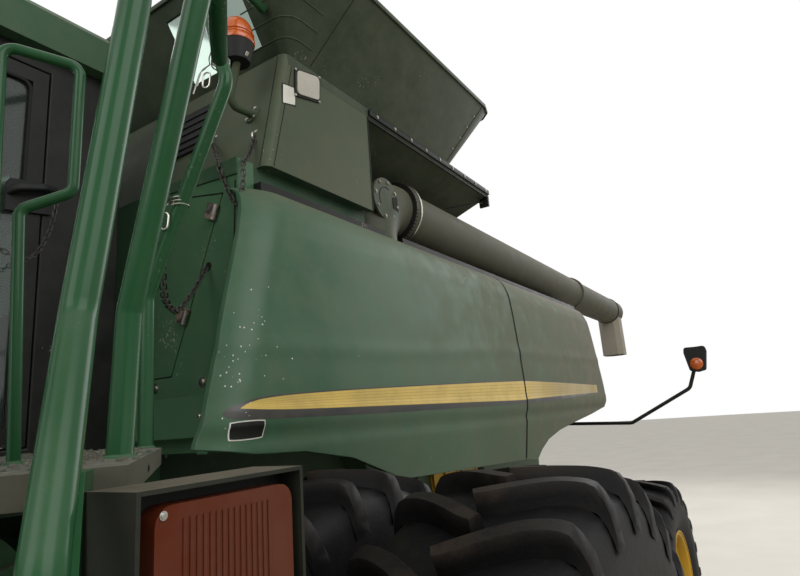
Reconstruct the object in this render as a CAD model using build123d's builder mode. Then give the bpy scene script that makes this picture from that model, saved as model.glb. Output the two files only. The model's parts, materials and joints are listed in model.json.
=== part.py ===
"""Rotary combine harvester without a header, parked with its feeder house lowered.

Millimetres. +X is forward, +Y is the machine's left, +Z is up, and the origin
lies on the ground under the middle of the whole machine. Stations in the
tables are measured from the front axle, rearward ones negative.
"""

import math
import os

from build123d import *

os.makedirs("parts", exist_ok=True)

# Driving dimensions
FEEDER_REACH = 2950
AUGER_REACH = 6460
WHEELBASE = 3560
AXLE_F = (AUGER_REACH - FEEDER_REACH) / 2
AXLE_R = AXLE_F - WHEELBASE
SEAT_GAP = 0.3
RUNNING = 0.06
SIDES = (("left", 1), ("right", -1))

# Wheels and tyres
FRONT_TYRE_R = 977
FRONT_TYRE_WIDTH = 560
FRONT_TREAD_HALF = 1585
DUAL_SPACING = 762
FRONT_RIM_R = 533
FRONT_BARS = 20
REAR_TYRE_R = 732
REAR_TYRE_WIDTH = 540
REAR_TREAD_HALF = 1915
REAR_RIM_R = 330
REAR_BARS = 16
BAR_DEPTH = 56
BAR_HALF = 26
BAR_SINK = 60
BAR_LEAD = 0.11
RIM_WALL = 14
DISC_WALL = 18
HUB_R = 210

# Frame and axles
FRAME_BOTTOM = 1130
FRAME_HEIGHT = 200
FRAME_TOP = FRAME_BOTTOM + FRAME_HEIGHT
RAIL_HALF = 620
RAIL_WIDTH = 120
RAIL_FRONT = 380
RAIL_REAR = -3780
CROSS_STATIONS = (300, -3300)
CROSS_SIZE = 120
AXLE_BEAM = 260
GEARBOX_LENGTH = 460
GEARBOX_HEIGHT = 420
GEARBOX_HALF = 300
FINAL_DRIVE_R = 290
FINAL_DRIVE_IN = 985
FINAL_DRIVE_OUT = 1180
REAR_BEAM_DEPTH = 150
REAR_BEAM_HEIGHT = 170
REAR_BEAM_Z = 800
KINGPIN_HALF = 1480
KINGPIN_R = 38
KNUCKLE_R = 75
PIVOT_PLATE = 40
ARM_LENGTH = 260
TIE_ROD_R = 28
REAR_PIN_R = 35
HITCH_Z = 735
HITCH_HALF = 60
HITCH_REACH = 390
HITCH_R = 16.5
HITCH_THICK = 40

# Body
BODY_TOP = 2830
SEPARATOR_HALF = 700
SEPARATOR_FRONT = 420
SEPARATOR_REAR = -3100
HOOD_HALF = 760
SHEET = 16

# Feeder house
FEEDER_PIVOT_X = 800
FEEDER_PIVOT_Z = 1560
FEEDER_SLOPE = 21
FEEDER_HALF = 700
FEEDER_DEPTH = 640
FEEDER_WALL = 20
FACE_LOW = 360
FACE_HEIGHT = 840
FACE_HALF = 760
FACE_THICK = 120
LATCH_R = 16
LATCH_Z = 520
LIFT_PIN = (250, 640)
LIFT_EYE = (1700, 760)
LIFT_HALF = 430
LIFT_PIN_R = 25
LIFT_EYE_R = 58
EYE_PLAY = 12
LIFT_BARREL_R = 55
LIFT_ROD_R = 29

# Grain tank and its recesses for the unloading auger
TANK_FRONT = 120
HOPPER_FRONT = -60
TANK_REAR = -2150
TANK_HALF = 1475
TANK_TOP = 3690
RECESS_HALF = TANK_HALF - 395
LEDGE_Z = 3010
LEDGE_THICK = 25
EXTENSION_REAR = -1582
EXTENSION_RISE = 380
EXTENSION_TOP = TANK_TOP + EXTENSION_RISE
EXTENSION_FLARE = 245
EXTENSION_WALL = 12
WALL_DEPTH = 80
WALL_HALF = TANK_HALF - 35
WALL_LOW = 1890
WING_LOW = 2040
BOX_FOOT = 85
BOX_HEAD = -40
BOX_REAR = -640
BOX_LOW = 3120
BEACON = (160, TANK_HALF - 75, 3650)  # x, y, z of the dome's foot
BEACON_R = 72

# Shields
SHIELD_HINGE_Y = TANK_HALF + 5
SHIELD_HINGE_Z = 3003
SHIELD_SPLIT = -2000
SHIELD_SEAM = 6

# Unloading auger, pivoting on a slightly tilted axis
AUGER_PIVOT_X = -810
AUGER_Y = TANK_HALF - 183
AUGER_Z = 3270
AUGER_R = 160
AUGER_BEND = 265
AUGER_TILT = 0.06
AUGER_BASE_DROP = 265
SPOUT_WIDTH = 290
SPOUT_DROP = 420
CRADLE_X = -3700

# Engine deck
DECK_REAR = -4000
DECK_THICK = 40
DECK_TOP = BODY_TOP + DECK_THICK
ENGINE_HOOD_FRONT = -2200
ENGINE_HOOD_REAR = -3650
ENGINE_HOOD_TOP = 3480

# Cab
CAB_REAR = 330
CAB_HALF = 885
CAB_FLOOR = 1990
CAB_SHELL = 55
CAB_ROOF_Z = 3560
CAB_ROOF_THICK = 200
DOOR_HINGE_X = 1530
DOOR_FRONT = 1500
DOOR_REAR = 620
DOOR_GAP = 6
DOOR_THICK = 45
GLASS = 8

# Platform
PLATFORM_TOP = 2083
PLATFORM_THICK = 40
RAIL_R = 21


def side_points(table):
    """Side-view points of a table measured from the front axle."""
    return [(AXLE_F + x, z) for x, z in table]


def write(part, name):
    """Label a finished piece and store it under its node name."""
    part.label = name
    export_step(part, f"parts/{name}.step")


def stepped_corners(mid_x, length, width, radius, steps=3):
    """Corners of a rectangle about a point on the X axis, each rounded in a few straight steps."""
    points = []
    for k, (sx, sy) in enumerate(((1, 1), (-1, 1), (-1, -1), (1, -1))):
        for step in range(steps + 1):
            turn = math.radians(90 * (k + step / steps))
            points.append(
                (
                    mid_x + sx * (length / 2 - radius) + radius * math.cos(turn),
                    sy * (width / 2 - radius) + radius * math.sin(turn),
                )
            )
    return points


def loop_points(length, radius, steps=4):
    """Straight-stepped loop round two drums: their centres stand at 0 and at the length."""
    points = []
    for centre, start in ((length, -90), (0, 90)):
        for step in range(steps + 1):
            turn = math.radians(start + 180 * step / steps)
            points.append((centre + radius * math.cos(turn), radius * math.sin(turn)))
    return points


# Main frame: two rails with cross members and the rear axle's pivot plates
with BuildPart() as main_frame:
    rail_length = RAIL_FRONT - RAIL_REAR
    rail_mid = AXLE_F + (RAIL_FRONT + RAIL_REAR) / 2
    with Locations(*[(rail_mid, s * RAIL_HALF, FRAME_BOTTOM) for _, s in SIDES]):
        Box(rail_length, RAIL_WIDTH, FRAME_HEIGHT, align=(Align.CENTER, Align.CENTER, Align.MIN))
    with Locations(*[(AXLE_F + x, 0, FRAME_BOTTOM) for x in CROSS_STATIONS]):
        Box(CROSS_SIZE, 2 * RAIL_HALF, CROSS_SIZE, align=(Align.CENTER, Align.CENTER, Align.MIN))
    pivot_x = REAR_BEAM_DEPTH / 2 + SEAT_GAP
    pivot_low = REAR_BEAM_Z - REAR_BEAM_HEIGHT / 2
    with Locations((AXLE_R + pivot_x, 0, pivot_low), (AXLE_R - pivot_x - PIVOT_PLATE, 0, pivot_low)):
        Box(
            PIVOT_PLATE,
            4 * REAR_BEAM_DEPTH,
            FRAME_BOTTOM + CROSS_SIZE - pivot_low,
            align=(Align.MIN, Align.CENTER, Align.MIN),
        )
    with Locations((AXLE_R, 0, FRAME_BOTTOM)):
        Box(
            REAR_BEAM_DEPTH + 2 * (PIVOT_PLATE + SEAT_GAP),
            2 * RAIL_HALF,
            CROSS_SIZE,
            align=(Align.CENTER, Align.CENTER, Align.MIN),
        )
    with BuildSketch(Plane.YZ.offset(AXLE_R - pivot_x - PIVOT_PLATE)):
        with Locations((0, REAR_BEAM_Z)):
            Circle(REAR_PIN_R)
    extrude(amount=2 * (pivot_x + PIVOT_PLATE))
    with BuildSketch(Plane.XY.offset(HITCH_Z)):
        with BuildLine():
            Polyline(
                (AXLE_R - pivot_x, HITCH_HALF),
                (AXLE_R - HITCH_REACH, HITCH_HALF),
                (AXLE_R - HITCH_REACH, -HITCH_HALF),
                (AXLE_R - pivot_x, -HITCH_HALF),
                close=True,
            )
        make_face()
        with Locations((AXLE_R - HITCH_REACH + HITCH_HALF, 0)):
            Circle(HITCH_R, mode=Mode.SUBTRACT)
    extrude(amount=HITCH_THICK)
write(main_frame.part, "main_frame")

# Front axle: beam, transmission, final drives and hubs up to the wheel discs
WHEEL_DISC_Y = FRONT_TREAD_HALF + 90
with BuildPart() as front_axle:
    with Locations((AXLE_F, 0, FRONT_TYRE_R)):
        Box(AXLE_BEAM, 2 * FINAL_DRIVE_OUT, AXLE_BEAM)
    with Locations((AXLE_F, 0, FRAME_BOTTOM - SEAT_GAP)):
        Box(
            GEARBOX_LENGTH,
            2 * GEARBOX_HALF,
            GEARBOX_HEIGHT,
            align=(Align.CENTER, Align.CENTER, Align.MAX),
        )
    for _, s in SIDES:
        with Locations((AXLE_F, s * RAIL_HALF, FRONT_TYRE_R)):
            Box(
                AXLE_BEAM,
                RAIL_WIDTH,
                FRAME_BOTTOM - FRONT_TYRE_R,
                align=(Align.CENTER, Align.CENTER, Align.MIN),
            )
        with BuildSketch(Plane.XZ.offset(-s * FINAL_DRIVE_IN)):
            with Locations((AXLE_F, FRONT_TYRE_R)):
                Circle(FINAL_DRIVE_R)
        extrude(amount=-s * (FINAL_DRIVE_OUT - FINAL_DRIVE_IN))
        with BuildSketch(Plane.XZ.offset(-s * FINAL_DRIVE_OUT)):
            with Locations((AXLE_F, FRONT_TYRE_R)):
                Circle(HUB_R)
        extrude(amount=-s * (WHEEL_DISC_Y - SEAT_GAP - FINAL_DRIVE_OUT))
        with Locations((AXLE_F + LIFT_PIN[0], s * LIFT_HALF, LIFT_PIN[1])):
            for ear in (-1, 1):
                with Locations((0, ear * 52, 0)):
                    Box(120, 22, 120)
            with Locations((-60, 0, -60)):
                Box(
                    120,
                    126,
                    FRONT_TYRE_R - LIFT_PIN[1] + 60,
                    align=(Align.MAX, Align.CENTER, Align.MIN),
                )
            with Locations(Rotation(90, 0, 0)):
                Cylinder(LIFT_PIN_R, 130)
write(front_axle.part, "front_axle")

# Rear axle: a box beam with forked ends around the kingpins
with BuildPart() as rear_axle:
    with Locations((AXLE_R, 0, REAR_BEAM_Z)):
        Box(REAR_BEAM_DEPTH, 2 * KINGPIN_HALF, REAR_BEAM_HEIGHT)
    for _, s in SIDES:
        with Locations((AXLE_R, s * KINGPIN_HALF, REAR_BEAM_Z)):
            Cylinder(KNUCKLE_R, REAR_BEAM_HEIGHT)
            Cylinder(KINGPIN_R + RUNNING, REAR_BEAM_HEIGHT, mode=Mode.SUBTRACT)
    with BuildSketch(Plane.YZ.offset(AXLE_R)):
        with Locations((0, REAR_BEAM_Z)):
            Circle(REAR_PIN_R + RUNNING)
    extrude(amount=REAR_BEAM_DEPTH, both=True, mode=Mode.SUBTRACT)
write(rear_axle.part, "rear_axle")

# Knuckles: kingpin, fork plates over and under the beam end, spindle and steering arm
FORK_GAP = 5
FORK_PLATE = 45
SPINDLE_R = 70
REAR_DISC_Y = REAR_TREAD_HALF - 40
for side, s in SIDES:
    with BuildPart() as knuckle:
        half = REAR_BEAM_HEIGHT / 2 + FORK_GAP
        with Locations((AXLE_R, s * KINGPIN_HALF, REAR_BEAM_Z)):
            Cylinder(KINGPIN_R, 2 * half + FORK_PLATE)
        for up in (1, -1):
            with Locations((AXLE_R, s * KINGPIN_HALF, REAR_BEAM_Z + up * (half + FORK_PLATE / 2))):
                Cylinder(KNUCKLE_R, FORK_PLATE)
                with Locations((0, s * 70, 0)):
                    Box(2 * KNUCKLE_R, 140, FORK_PLATE)
        with Locations((AXLE_R, s * (KINGPIN_HALF + 110), REAR_BEAM_Z)):
            Box(2 * KNUCKLE_R, 60, 2 * (half + FORK_PLATE))
        with BuildSketch(Plane.XZ.offset(-s * (KINGPIN_HALF + 130))):
            with Locations((AXLE_R, REAR_TYRE_R)):
                Circle(SPINDLE_R)
        extrude(amount=-s * (REAR_DISC_Y - SEAT_GAP - KINGPIN_HALF - 130))
        arm_z = REAR_BEAM_Z - half - FORK_PLATE
        with Locations((AXLE_R - ARM_LENGTH / 2, s * KINGPIN_HALF, arm_z)):
            Box(ARM_LENGTH, 70, FORK_PLATE, align=(Align.CENTER, Align.CENTER, Align.MIN))
        with Locations((AXLE_R - ARM_LENGTH, s * KINGPIN_HALF, arm_z)):
            Cylinder(45, FORK_PLATE, align=(Align.CENTER, Align.CENTER, Align.MIN))
    write(knuckle.part, f"{side}_knuckle")

# Tie rod: joins the two steering arms, its ball sockets just under them
TIE_Z = REAR_BEAM_Z - REAR_BEAM_HEIGHT / 2 - FORK_GAP - FORK_PLATE
with BuildPart() as tie_rod:
    for _, s in SIDES:
        with Locations((AXLE_R - ARM_LENGTH, s * KINGPIN_HALF, TIE_Z - SEAT_GAP)):
            Cylinder(40, 70, align=(Align.CENTER, Align.CENTER, Align.MAX))
    with BuildSketch(Plane.XZ):
        with Locations((AXLE_R - ARM_LENGTH, TIE_Z - SEAT_GAP - 35)):
            Circle(TIE_ROD_R)
    extrude(amount=KINGPIN_HALF, both=True)
write(tie_rod.part, "tie_rod")


def tyre(radius, width, rim_radius, bars):
    """Faceted carcass about the Y axis with two staggered rows of bars, leading at the tread's middle."""
    half = width / 2
    crown = radius - BAR_DEPTH
    flank = (rim_radius + 2 * crown) / 3
    shift = BAR_LEAD * radius / 2
    tip = math.sqrt(radius**2 - (shift + BAR_HALF) ** 2)
    ends = (  # y, inner radius, outer radius, half width, lead
        (-0.06 * half, crown - BAR_SINK, tip, BAR_HALF, shift),
        (0.97 * half, flank - BAR_SINK, radius - BAR_DEPTH / 2, 1.15 * BAR_HALF, -shift),
    )
    with BuildPart() as bar:
        for y, low, high, bar_half, lead in ends:
            with BuildSketch(Plane.XZ.offset(-y)):
                with Locations((lead, (low + high) / 2)):
                    Rectangle(2 * bar_half, high - low)
        loft()
    other_bar = mirror(bar.part, about=Plane.XZ, mode=Mode.PRIVATE)
    with BuildPart() as body:
        for y, ring in ((-half, flank), (-0.72 * half, crown), (0.72 * half, crown), (half, flank)):
            with BuildSketch(Plane.XZ.offset(-y)):
                RegularPolygon(ring, bars // 2)
        loft(ruled=True)
        with BuildSketch(Plane.XZ):
            RegularPolygon(rim_radius, bars // 2, major_radius=False)
        extrude(amount=width, both=True, mode=Mode.SUBTRACT)
        with Locations(*[Rotation(0, k * 360 / bars, 0) for k in range(bars)]):
            add(bar.part)
        with Locations(*[Rotation(0, (k + 0.5) * 360 / bars, 0) for k in range(bars)]):
            add(other_bar)
    return body.part.rotate(Axis.Y, math.degrees(math.atan2(shift + BAR_HALF, tip)))


def wheel_plane(axle_x, axle_z):
    """Plane whose x is the radius, pointing forward, and whose y is the machine's Y."""
    return Plane(origin=(axle_x, 0, axle_z), x_dir=(1, 0, 0), z_dir=(0, 0, 1))


AXLE_LINES = {
    "front": Axis((AXLE_F, 0, FRONT_TYRE_R), (0, 1, 0)),
    "rear": Axis((AXLE_R, 0, REAR_TYRE_R), (0, 1, 0)),
}

# Front dual tyres: two on each side
front_tyre = tyre(FRONT_TYRE_R, FRONT_TYRE_WIDTH, FRONT_RIM_R, FRONT_BARS)
for side, s in SIDES:
    rows = [s * (FRONT_TREAD_HALF + row * DUAL_SPACING) for row in range(2)]
    pair = [front_tyre.moved(Location((AXLE_F, y, FRONT_TYRE_R))) for y in rows]
    write(Compound(children=pair), f"{side}_front_tyres")

# Front rims: inner and outer barrels and discs joined by a spacer drum
SPACER_R = 260
for side, s in SIDES:
    with BuildPart() as rims:
        with BuildSketch(wheel_plane(AXLE_F, FRONT_TYRE_R)):
            for row in range(2):
                centre = FRONT_TREAD_HALF + row * DUAL_SPACING
                with Locations((FRONT_RIM_R - RIM_WALL / 2 - SEAT_GAP, s * centre)):
                    Rectangle(RIM_WALL, FRONT_TYRE_WIDTH - 60)
            outer_disc = FRONT_TREAD_HALF + DUAL_SPACING - 90
            for disc in (WHEEL_DISC_Y, outer_disc):
                with Locations((FRONT_RIM_R / 2 - RIM_WALL / 2, s * (disc + DISC_WALL / 2))):
                    Rectangle(FRONT_RIM_R - RIM_WALL, DISC_WALL)
            with Locations((SPACER_R, s * (WHEEL_DISC_Y + outer_disc) / 2)):
                Rectangle(RIM_WALL, outer_disc - WHEEL_DISC_Y)
            with Locations((HUB_R / 2, s * (outer_disc + DISC_WALL + 30))):
                Rectangle(HUB_R, 60)
        revolve(axis=AXLE_LINES["front"])
    write(rims.part, f"{side}_front_rims")

# Rear tyres and rims, their bars pointing the other way as on a wheel that isn't driven
rear_tyre = tyre(REAR_TYRE_R, REAR_TYRE_WIDTH, REAR_RIM_R, REAR_BARS).rotate(Axis.Z, 180)
for side, s in SIDES:
    write(rear_tyre.moved(Location((AXLE_R, s * REAR_TREAD_HALF, REAR_TYRE_R))), f"{side}_rear_tyre")
    with BuildPart() as rear_rim:
        with BuildSketch(wheel_plane(AXLE_R, REAR_TYRE_R)):
            with Locations((REAR_RIM_R - RIM_WALL / 2 - SEAT_GAP, s * REAR_TREAD_HALF)):
                Rectangle(RIM_WALL, REAR_TYRE_WIDTH - 60)
            with Locations((REAR_RIM_R / 2 - RIM_WALL / 2, s * (REAR_DISC_Y + DISC_WALL / 2))):
                Rectangle(REAR_RIM_R - RIM_WALL, DISC_WALL)
            with Locations((60, s * (REAR_DISC_Y + DISC_WALL + 35))):
                Rectangle(120, 70)
        revolve(axis=AXLE_LINES["rear"])
    write(rear_rim.part, f"{side}_rear_rim")

# Separator body: closed side walls from the feeder's throat to the straw hood
SEPARATOR_SIDE = (  # x, z
    (SEPARATOR_FRONT, FRAME_TOP),
    (SEPARATOR_FRONT, WALL_LOW),
    (TANK_FRONT, WALL_LOW),
    (TANK_FRONT, BODY_TOP),
    (SEPARATOR_REAR, BODY_TOP),
    (SEPARATOR_REAR, FRAME_TOP),
)
THROAT_DEPTH = 260
FEEDER_PIN_R = 45
with BuildPart() as separator_body:
    with BuildSketch(Plane.XZ):
        with BuildLine():
            Polyline(*side_points(SEPARATOR_SIDE), close=True)
        make_face()
    extrude(amount=SEPARATOR_HALF, both=True)
    with Locations((AXLE_F + SEPARATOR_FRONT, 0, FEEDER_PIVOT_Z)):
        Box(
            THROAT_DEPTH,
            2 * (SEPARATOR_HALF - 60),
            2 * 200,
            align=(Align.MAX, Align.CENTER, Align.CENTER),
            mode=Mode.SUBTRACT,
        )
    for _, s in SIDES:
        with BuildSketch(Plane.XZ.offset(-s * (FEEDER_HALF + SHEET))):
            with BuildLine():
                Polyline(
                    (AXLE_F + SEPARATOR_FRONT - 120, FEEDER_PIVOT_Z + 200),
                    (AXLE_F + SEPARATOR_FRONT, FEEDER_PIVOT_Z + 200),
                    (AXLE_F + FEEDER_PIVOT_X + 90, FEEDER_PIVOT_Z + 90),
                    (AXLE_F + FEEDER_PIVOT_X + 90, FEEDER_PIVOT_Z - 90),
                    (AXLE_F + SEPARATOR_FRONT, FEEDER_PIVOT_Z - 220),
                    (AXLE_F + SEPARATOR_FRONT - 120, FEEDER_PIVOT_Z - 220),
                    close=True,
                )
            make_face()
        extrude(amount=-s * 40)
        with Locations((AXLE_F + SEPARATOR_FRONT - 60, s * (SEPARATOR_HALF + SHEET / 2), FEEDER_PIVOT_Z)):
            Box(120, SHEET, 400)
        with BuildSketch(Plane.XZ.offset(-s * (FEEDER_HALF - FEEDER_WALL + 2))):
            with Locations((AXLE_F + FEEDER_PIVOT_X, FEEDER_PIVOT_Z)):
                Circle(FEEDER_PIN_R)
        extrude(amount=-s * (FEEDER_WALL + SHEET))
write(separator_body.part, "separator_body")

# Cleaning shoe with fan drum, cross augers and the two elevators at its ends
SHOE_HALF = RAIL_HALF - RAIL_WIDTH / 2 - 5
SHOE_SIDE = (  # x, z
    (-240, FRAME_TOP),
    (-240, 1150),
    (-520, 760),
    (-1500, 700),
    (-2900, 860),
    (-3050, FRAME_TOP),
)
FAN_X, FAN_Z, FAN_R = -560, 950, 300
ELEVATORS = (  # side, foot x, head x, head z
    (-1, -1450, -900, 2700),
    (1, -1850, -1300, 2150),
)
ELEVATOR_LENGTH = 300
ELEVATOR_WIDTH = 170
ELEVATOR_FOOT = 760
with BuildPart() as cleaning_shoe:
    with BuildSketch(Plane.XZ):
        with BuildLine():
            Polyline(*side_points(SHOE_SIDE), close=True)
        make_face()
        with Locations((AXLE_F + FAN_X, FAN_Z)):
            Circle(FAN_R)
    extrude(amount=SHOE_HALF, both=True)
    for s, foot_x, head_x, head_z in ELEVATORS:
        wall = SEPARATOR_HALF + SEAT_GAP
        with BuildSketch(Plane.XZ.offset(-s * wall)):
            with BuildLine():
                Polyline(
                    (AXLE_F + foot_x - ELEVATOR_LENGTH / 2, ELEVATOR_FOOT),
                    (AXLE_F + foot_x + ELEVATOR_LENGTH / 2, ELEVATOR_FOOT),
                    (AXLE_F + head_x + ELEVATOR_LENGTH / 2, head_z),
                    (AXLE_F + head_x - ELEVATOR_LENGTH / 2, head_z),
                    close=True,
                )
            make_face()
        extrude(amount=-s * ELEVATOR_WIDTH)
        with BuildSketch(Plane.XZ):
            with Locations((AXLE_F + foot_x, ELEVATOR_FOOT + 110)):
                Circle(100)
        extrude(amount=-s * (wall + ELEVATOR_WIDTH / 2))
write(cleaning_shoe.part, "cleaning_shoe")

# Grain tank: an open hopper, narrowed on both sides for the auger recesses
TANK_SECTION = (  # y, z of the left half
    (TANK_HALF, TANK_TOP),
    (TANK_HALF, TANK_TOP - 50),
    (RECESS_HALF, TANK_TOP - 190),
    (RECESS_HALF, BODY_TOP + 160),
    (SEPARATOR_HALF, BODY_TOP),
)
TANK_OUTLINE = TANK_SECTION + tuple((-y, z) for y, z in reversed(TANK_SECTION))
with BuildPart() as grain_tank:
    with BuildSketch(Plane.YZ.offset(AXLE_F + TANK_REAR)):
        with BuildLine():
            Polyline(*TANK_OUTLINE, close=True)
        make_face()
    extrude(amount=HOPPER_FRONT - TANK_REAR)
    with BuildSketch(Plane.YZ.offset(AXLE_F + TANK_REAR + SHEET)):
        with BuildLine():
            Polyline(*TANK_OUTLINE, close=True)
        make_face()
        offset(amount=-SHEET, kind=Kind.INTERSECTION, mode=Mode.REPLACE)
    extrude(amount=HOPPER_FRONT - TANK_REAR - 2 * SHEET, mode=Mode.SUBTRACT)
    with Locations((AXLE_F + HOPPER_FRONT - SHEET, 0, TANK_TOP)):
        Box(
            HOPPER_FRONT - EXTENSION_REAR - 2 * SHEET,
            2 * (TANK_HALF - SHEET),
            2 * SHEET,
            align=(Align.MAX, Align.CENTER, Align.CENTER),
            mode=Mode.SUBTRACT,
        )
write(grain_tank.part, "grain_tank")

# Tank extension: four flared panels in one rounded ring, with two windows in front
EXTENSION_BASE = HOPPER_FRONT - EXTENSION_REAR
EXTENSION_MID = AXLE_F + (HOPPER_FRONT + EXTENSION_REAR) / 2
WINDOW_Y = 1130
WINDOW_WIDTH = 460
WINDOW_LOW = TANK_TOP + 60
WINDOW_HIGH = EXTENSION_TOP - 70
with BuildPart() as tank_extension:
    for wall, mode in ((0, Mode.ADD), (EXTENSION_WALL, Mode.SUBTRACT)):
        for level, flare, radius in ((TANK_TOP, 0, 50), (EXTENSION_TOP, EXTENSION_FLARE, 160)):
            with BuildSketch(Plane.XY.offset(level)):
                with BuildLine():
                    Polyline(
                        *stepped_corners(
                            EXTENSION_MID,
                            EXTENSION_BASE + 2 * (flare - wall),
                            2 * (TANK_HALF + flare - wall),
                            radius - wall,
                        ),
                        close=True,
                    )
                make_face()
        loft(ruled=True, mode=mode)
    for _, s in SIDES:
        with BuildSketch(Plane.YZ.offset(AXLE_F + HOPPER_FRONT - SHEET)):
            with Locations((s * WINDOW_Y, (WINDOW_LOW + WINDOW_HIGH) / 2)):
                Rectangle(WINDOW_WIDTH, WINDOW_HIGH - WINDOW_LOW)
        extrude(amount=EXTENSION_FLARE, mode=Mode.SUBTRACT)
write(tank_extension.part, "tank_extension")

# Front wall beside and behind the cab, with the service door's opening
DOOR_OUTLINE = (  # y, z of the service door
    (CAB_HALF + 20, 2330),
    (1057, 2330),
    (1352, 2994),
    (CAB_HALF + 20, 3078),
)
SERVICE_GAP = 6
with BuildPart() as front_wall:
    with BuildSketch(Plane.YZ.offset(AXLE_F + TANK_FRONT)):
        with Locations((0, (WALL_LOW + BOX_LOW) / 2)):
            Rectangle(2 * CAB_HALF, BOX_LOW - WALL_LOW)
        with Locations((0, (WING_LOW + BOX_LOW) / 2)):
            Rectangle(2 * WALL_HALF, BOX_LOW - WING_LOW)
    extrude(amount=WALL_DEPTH)
    with BuildSketch(Plane.YZ.offset(AXLE_F + TANK_FRONT)):
        with BuildLine():
            Polyline(*DOOR_OUTLINE, close=True)
        make_face()
        offset(amount=SERVICE_GAP, kind=Kind.INTERSECTION)
    extrude(amount=WALL_DEPTH, mode=Mode.SUBTRACT)
    for _, s in SIDES:
        with Locations((AXLE_F + TANK_FRONT + WALL_DEPTH, s * (CAB_HALF + 20), 2165)):
            Box(90, 520, 140, align=(Align.MIN, Align.MIN if s > 0 else Align.MAX, Align.CENTER))

# Cover boxes: close the front of each recess behind one panel that leans back with the tank
BOX_SECTION = (  # y, z of the left box
    (RECESS_HALF, BOX_LOW),
    (TANK_HALF, BOX_LOW),
    (TANK_HALF, TANK_TOP - 50),
    (RECESS_HALF, TANK_TOP - 190),
)
PANEL_SIDE = (  # x, z of the leaning panel
    (HOPPER_FRONT, BOX_LOW),
    (BOX_FOOT, BOX_LOW),
    (BOX_HEAD, TANK_TOP),
    (HOPPER_FRONT, TANK_TOP),
)
PANEL_LEAN = (BOX_FOOT - BOX_HEAD) / (TANK_TOP - BOX_LOW)
CORNER_R = 35
PLATE_SWEEP = 50
HATCH_Y = 860
HATCH_WIDTH = 420
HATCH_HEIGHT = 240
HATCH_RISE = 355
FLANGE_Z = 3414
with BuildPart() as cover_boxes:
    with BuildSketch(Plane.XZ):
        with BuildLine():
            Polyline(*side_points(PANEL_SIDE), close=True)
        make_face()
    extrude(amount=TANK_HALF, both=True)
    for _, s in SIDES:
        with BuildSketch(Plane.YZ.offset(AXLE_F + BOX_REAR)):
            with BuildLine():
                Polyline(*[(s * y, z) for y, z in BOX_SECTION], close=True)
            make_face()
        extrude(amount=HOPPER_FRONT - BOX_REAR)
    corners = cover_boxes.edges().filter_by(lambda edge: edge.length > TANK_TOP - BOX_LOW)
    outer = [edge for edge in corners.filter_by(Axis.Y, reverse=True) if abs(edge.center().Y) > TANK_HALF - 1]
    fillet([edge for edge in outer if abs(edge.tangent_at(0).Z) > 0.9], radius=CORNER_R)
    for _, s in SIDES:
        with Locations((AXLE_F + BOX_REAR, s * (RECESS_HALF - 1), BOX_LOW - 1)):
            Box(
                PLATE_SWEEP,
                TANK_HALF - 30 - RECESS_HALF,
                TANK_TOP - BOX_LOW,
                align=(Align.MIN, Align.MIN if s > 0 else Align.MAX, Align.MIN),
                mode=Mode.SUBTRACT,
            )
        with Locations((AXLE_F + BOX_REAR, s * RECESS_HALF, LEDGE_Z + LEDGE_THICK)):
            Box(
                TANK_FRONT - BOX_REAR,
                SHIELD_HINGE_Y - 60 - RECESS_HALF,
                BOX_LOW - LEDGE_Z - LEDGE_THICK,
                align=(Align.MIN, Align.MIN if s > 0 else Align.MAX, Align.MIN),
            )
        with Locations((AXLE_F + BOX_FOOT - PANEL_LEAN * HATCH_RISE, s * HATCH_Y, BOX_LOW + HATCH_RISE)):
            with Locations(Rotation(0, -math.degrees(math.atan(PANEL_LEAN)), 0)):
                Box(24, HATCH_WIDTH, HATCH_HEIGHT)
                for row in range(5):
                    with Locations((14, 0, 42 * (row - 2))):
                        Box(8, HATCH_WIDTH - 50, 18)
    foot_x = BOX_FOOT - PANEL_LEAN * (FLANGE_Z - BOX_LOW)
    with Locations((AXLE_F + foot_x, BEACON[1] - 65, FLANGE_Z)):
        with Locations(Rotation(0, 90 - math.degrees(math.atan(PANEL_LEAN)), 0)):
            Cylinder(42, 16)
    with BuildSketch(Plane.XY.offset(BEACON[2] - SEAT_GAP)):
        with Locations((AXLE_F + BEACON[0], BEACON[1])):
            RegularPolygon(BEACON_R, 16)
    extrude(amount=-90, taper=12)
    with BuildLine() as stand_line:
        FilletPolyline(
            (AXLE_F + BEACON[0], BEACON[1], BEACON[2] - 80),
            (AXLE_F + BEACON[0] - 10, BEACON[1] - 65, FLANGE_Z - 10),
            (AXLE_F + foot_x, BEACON[1] - 65, FLANGE_Z),
            radius=50,
        )
    with BuildSketch(Plane(origin=stand_line.line @ 0, z_dir=stand_line.line % 0)):
        Circle(16)
    sweep()
write(front_wall.part + cover_boxes.part, "front_wall")

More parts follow.
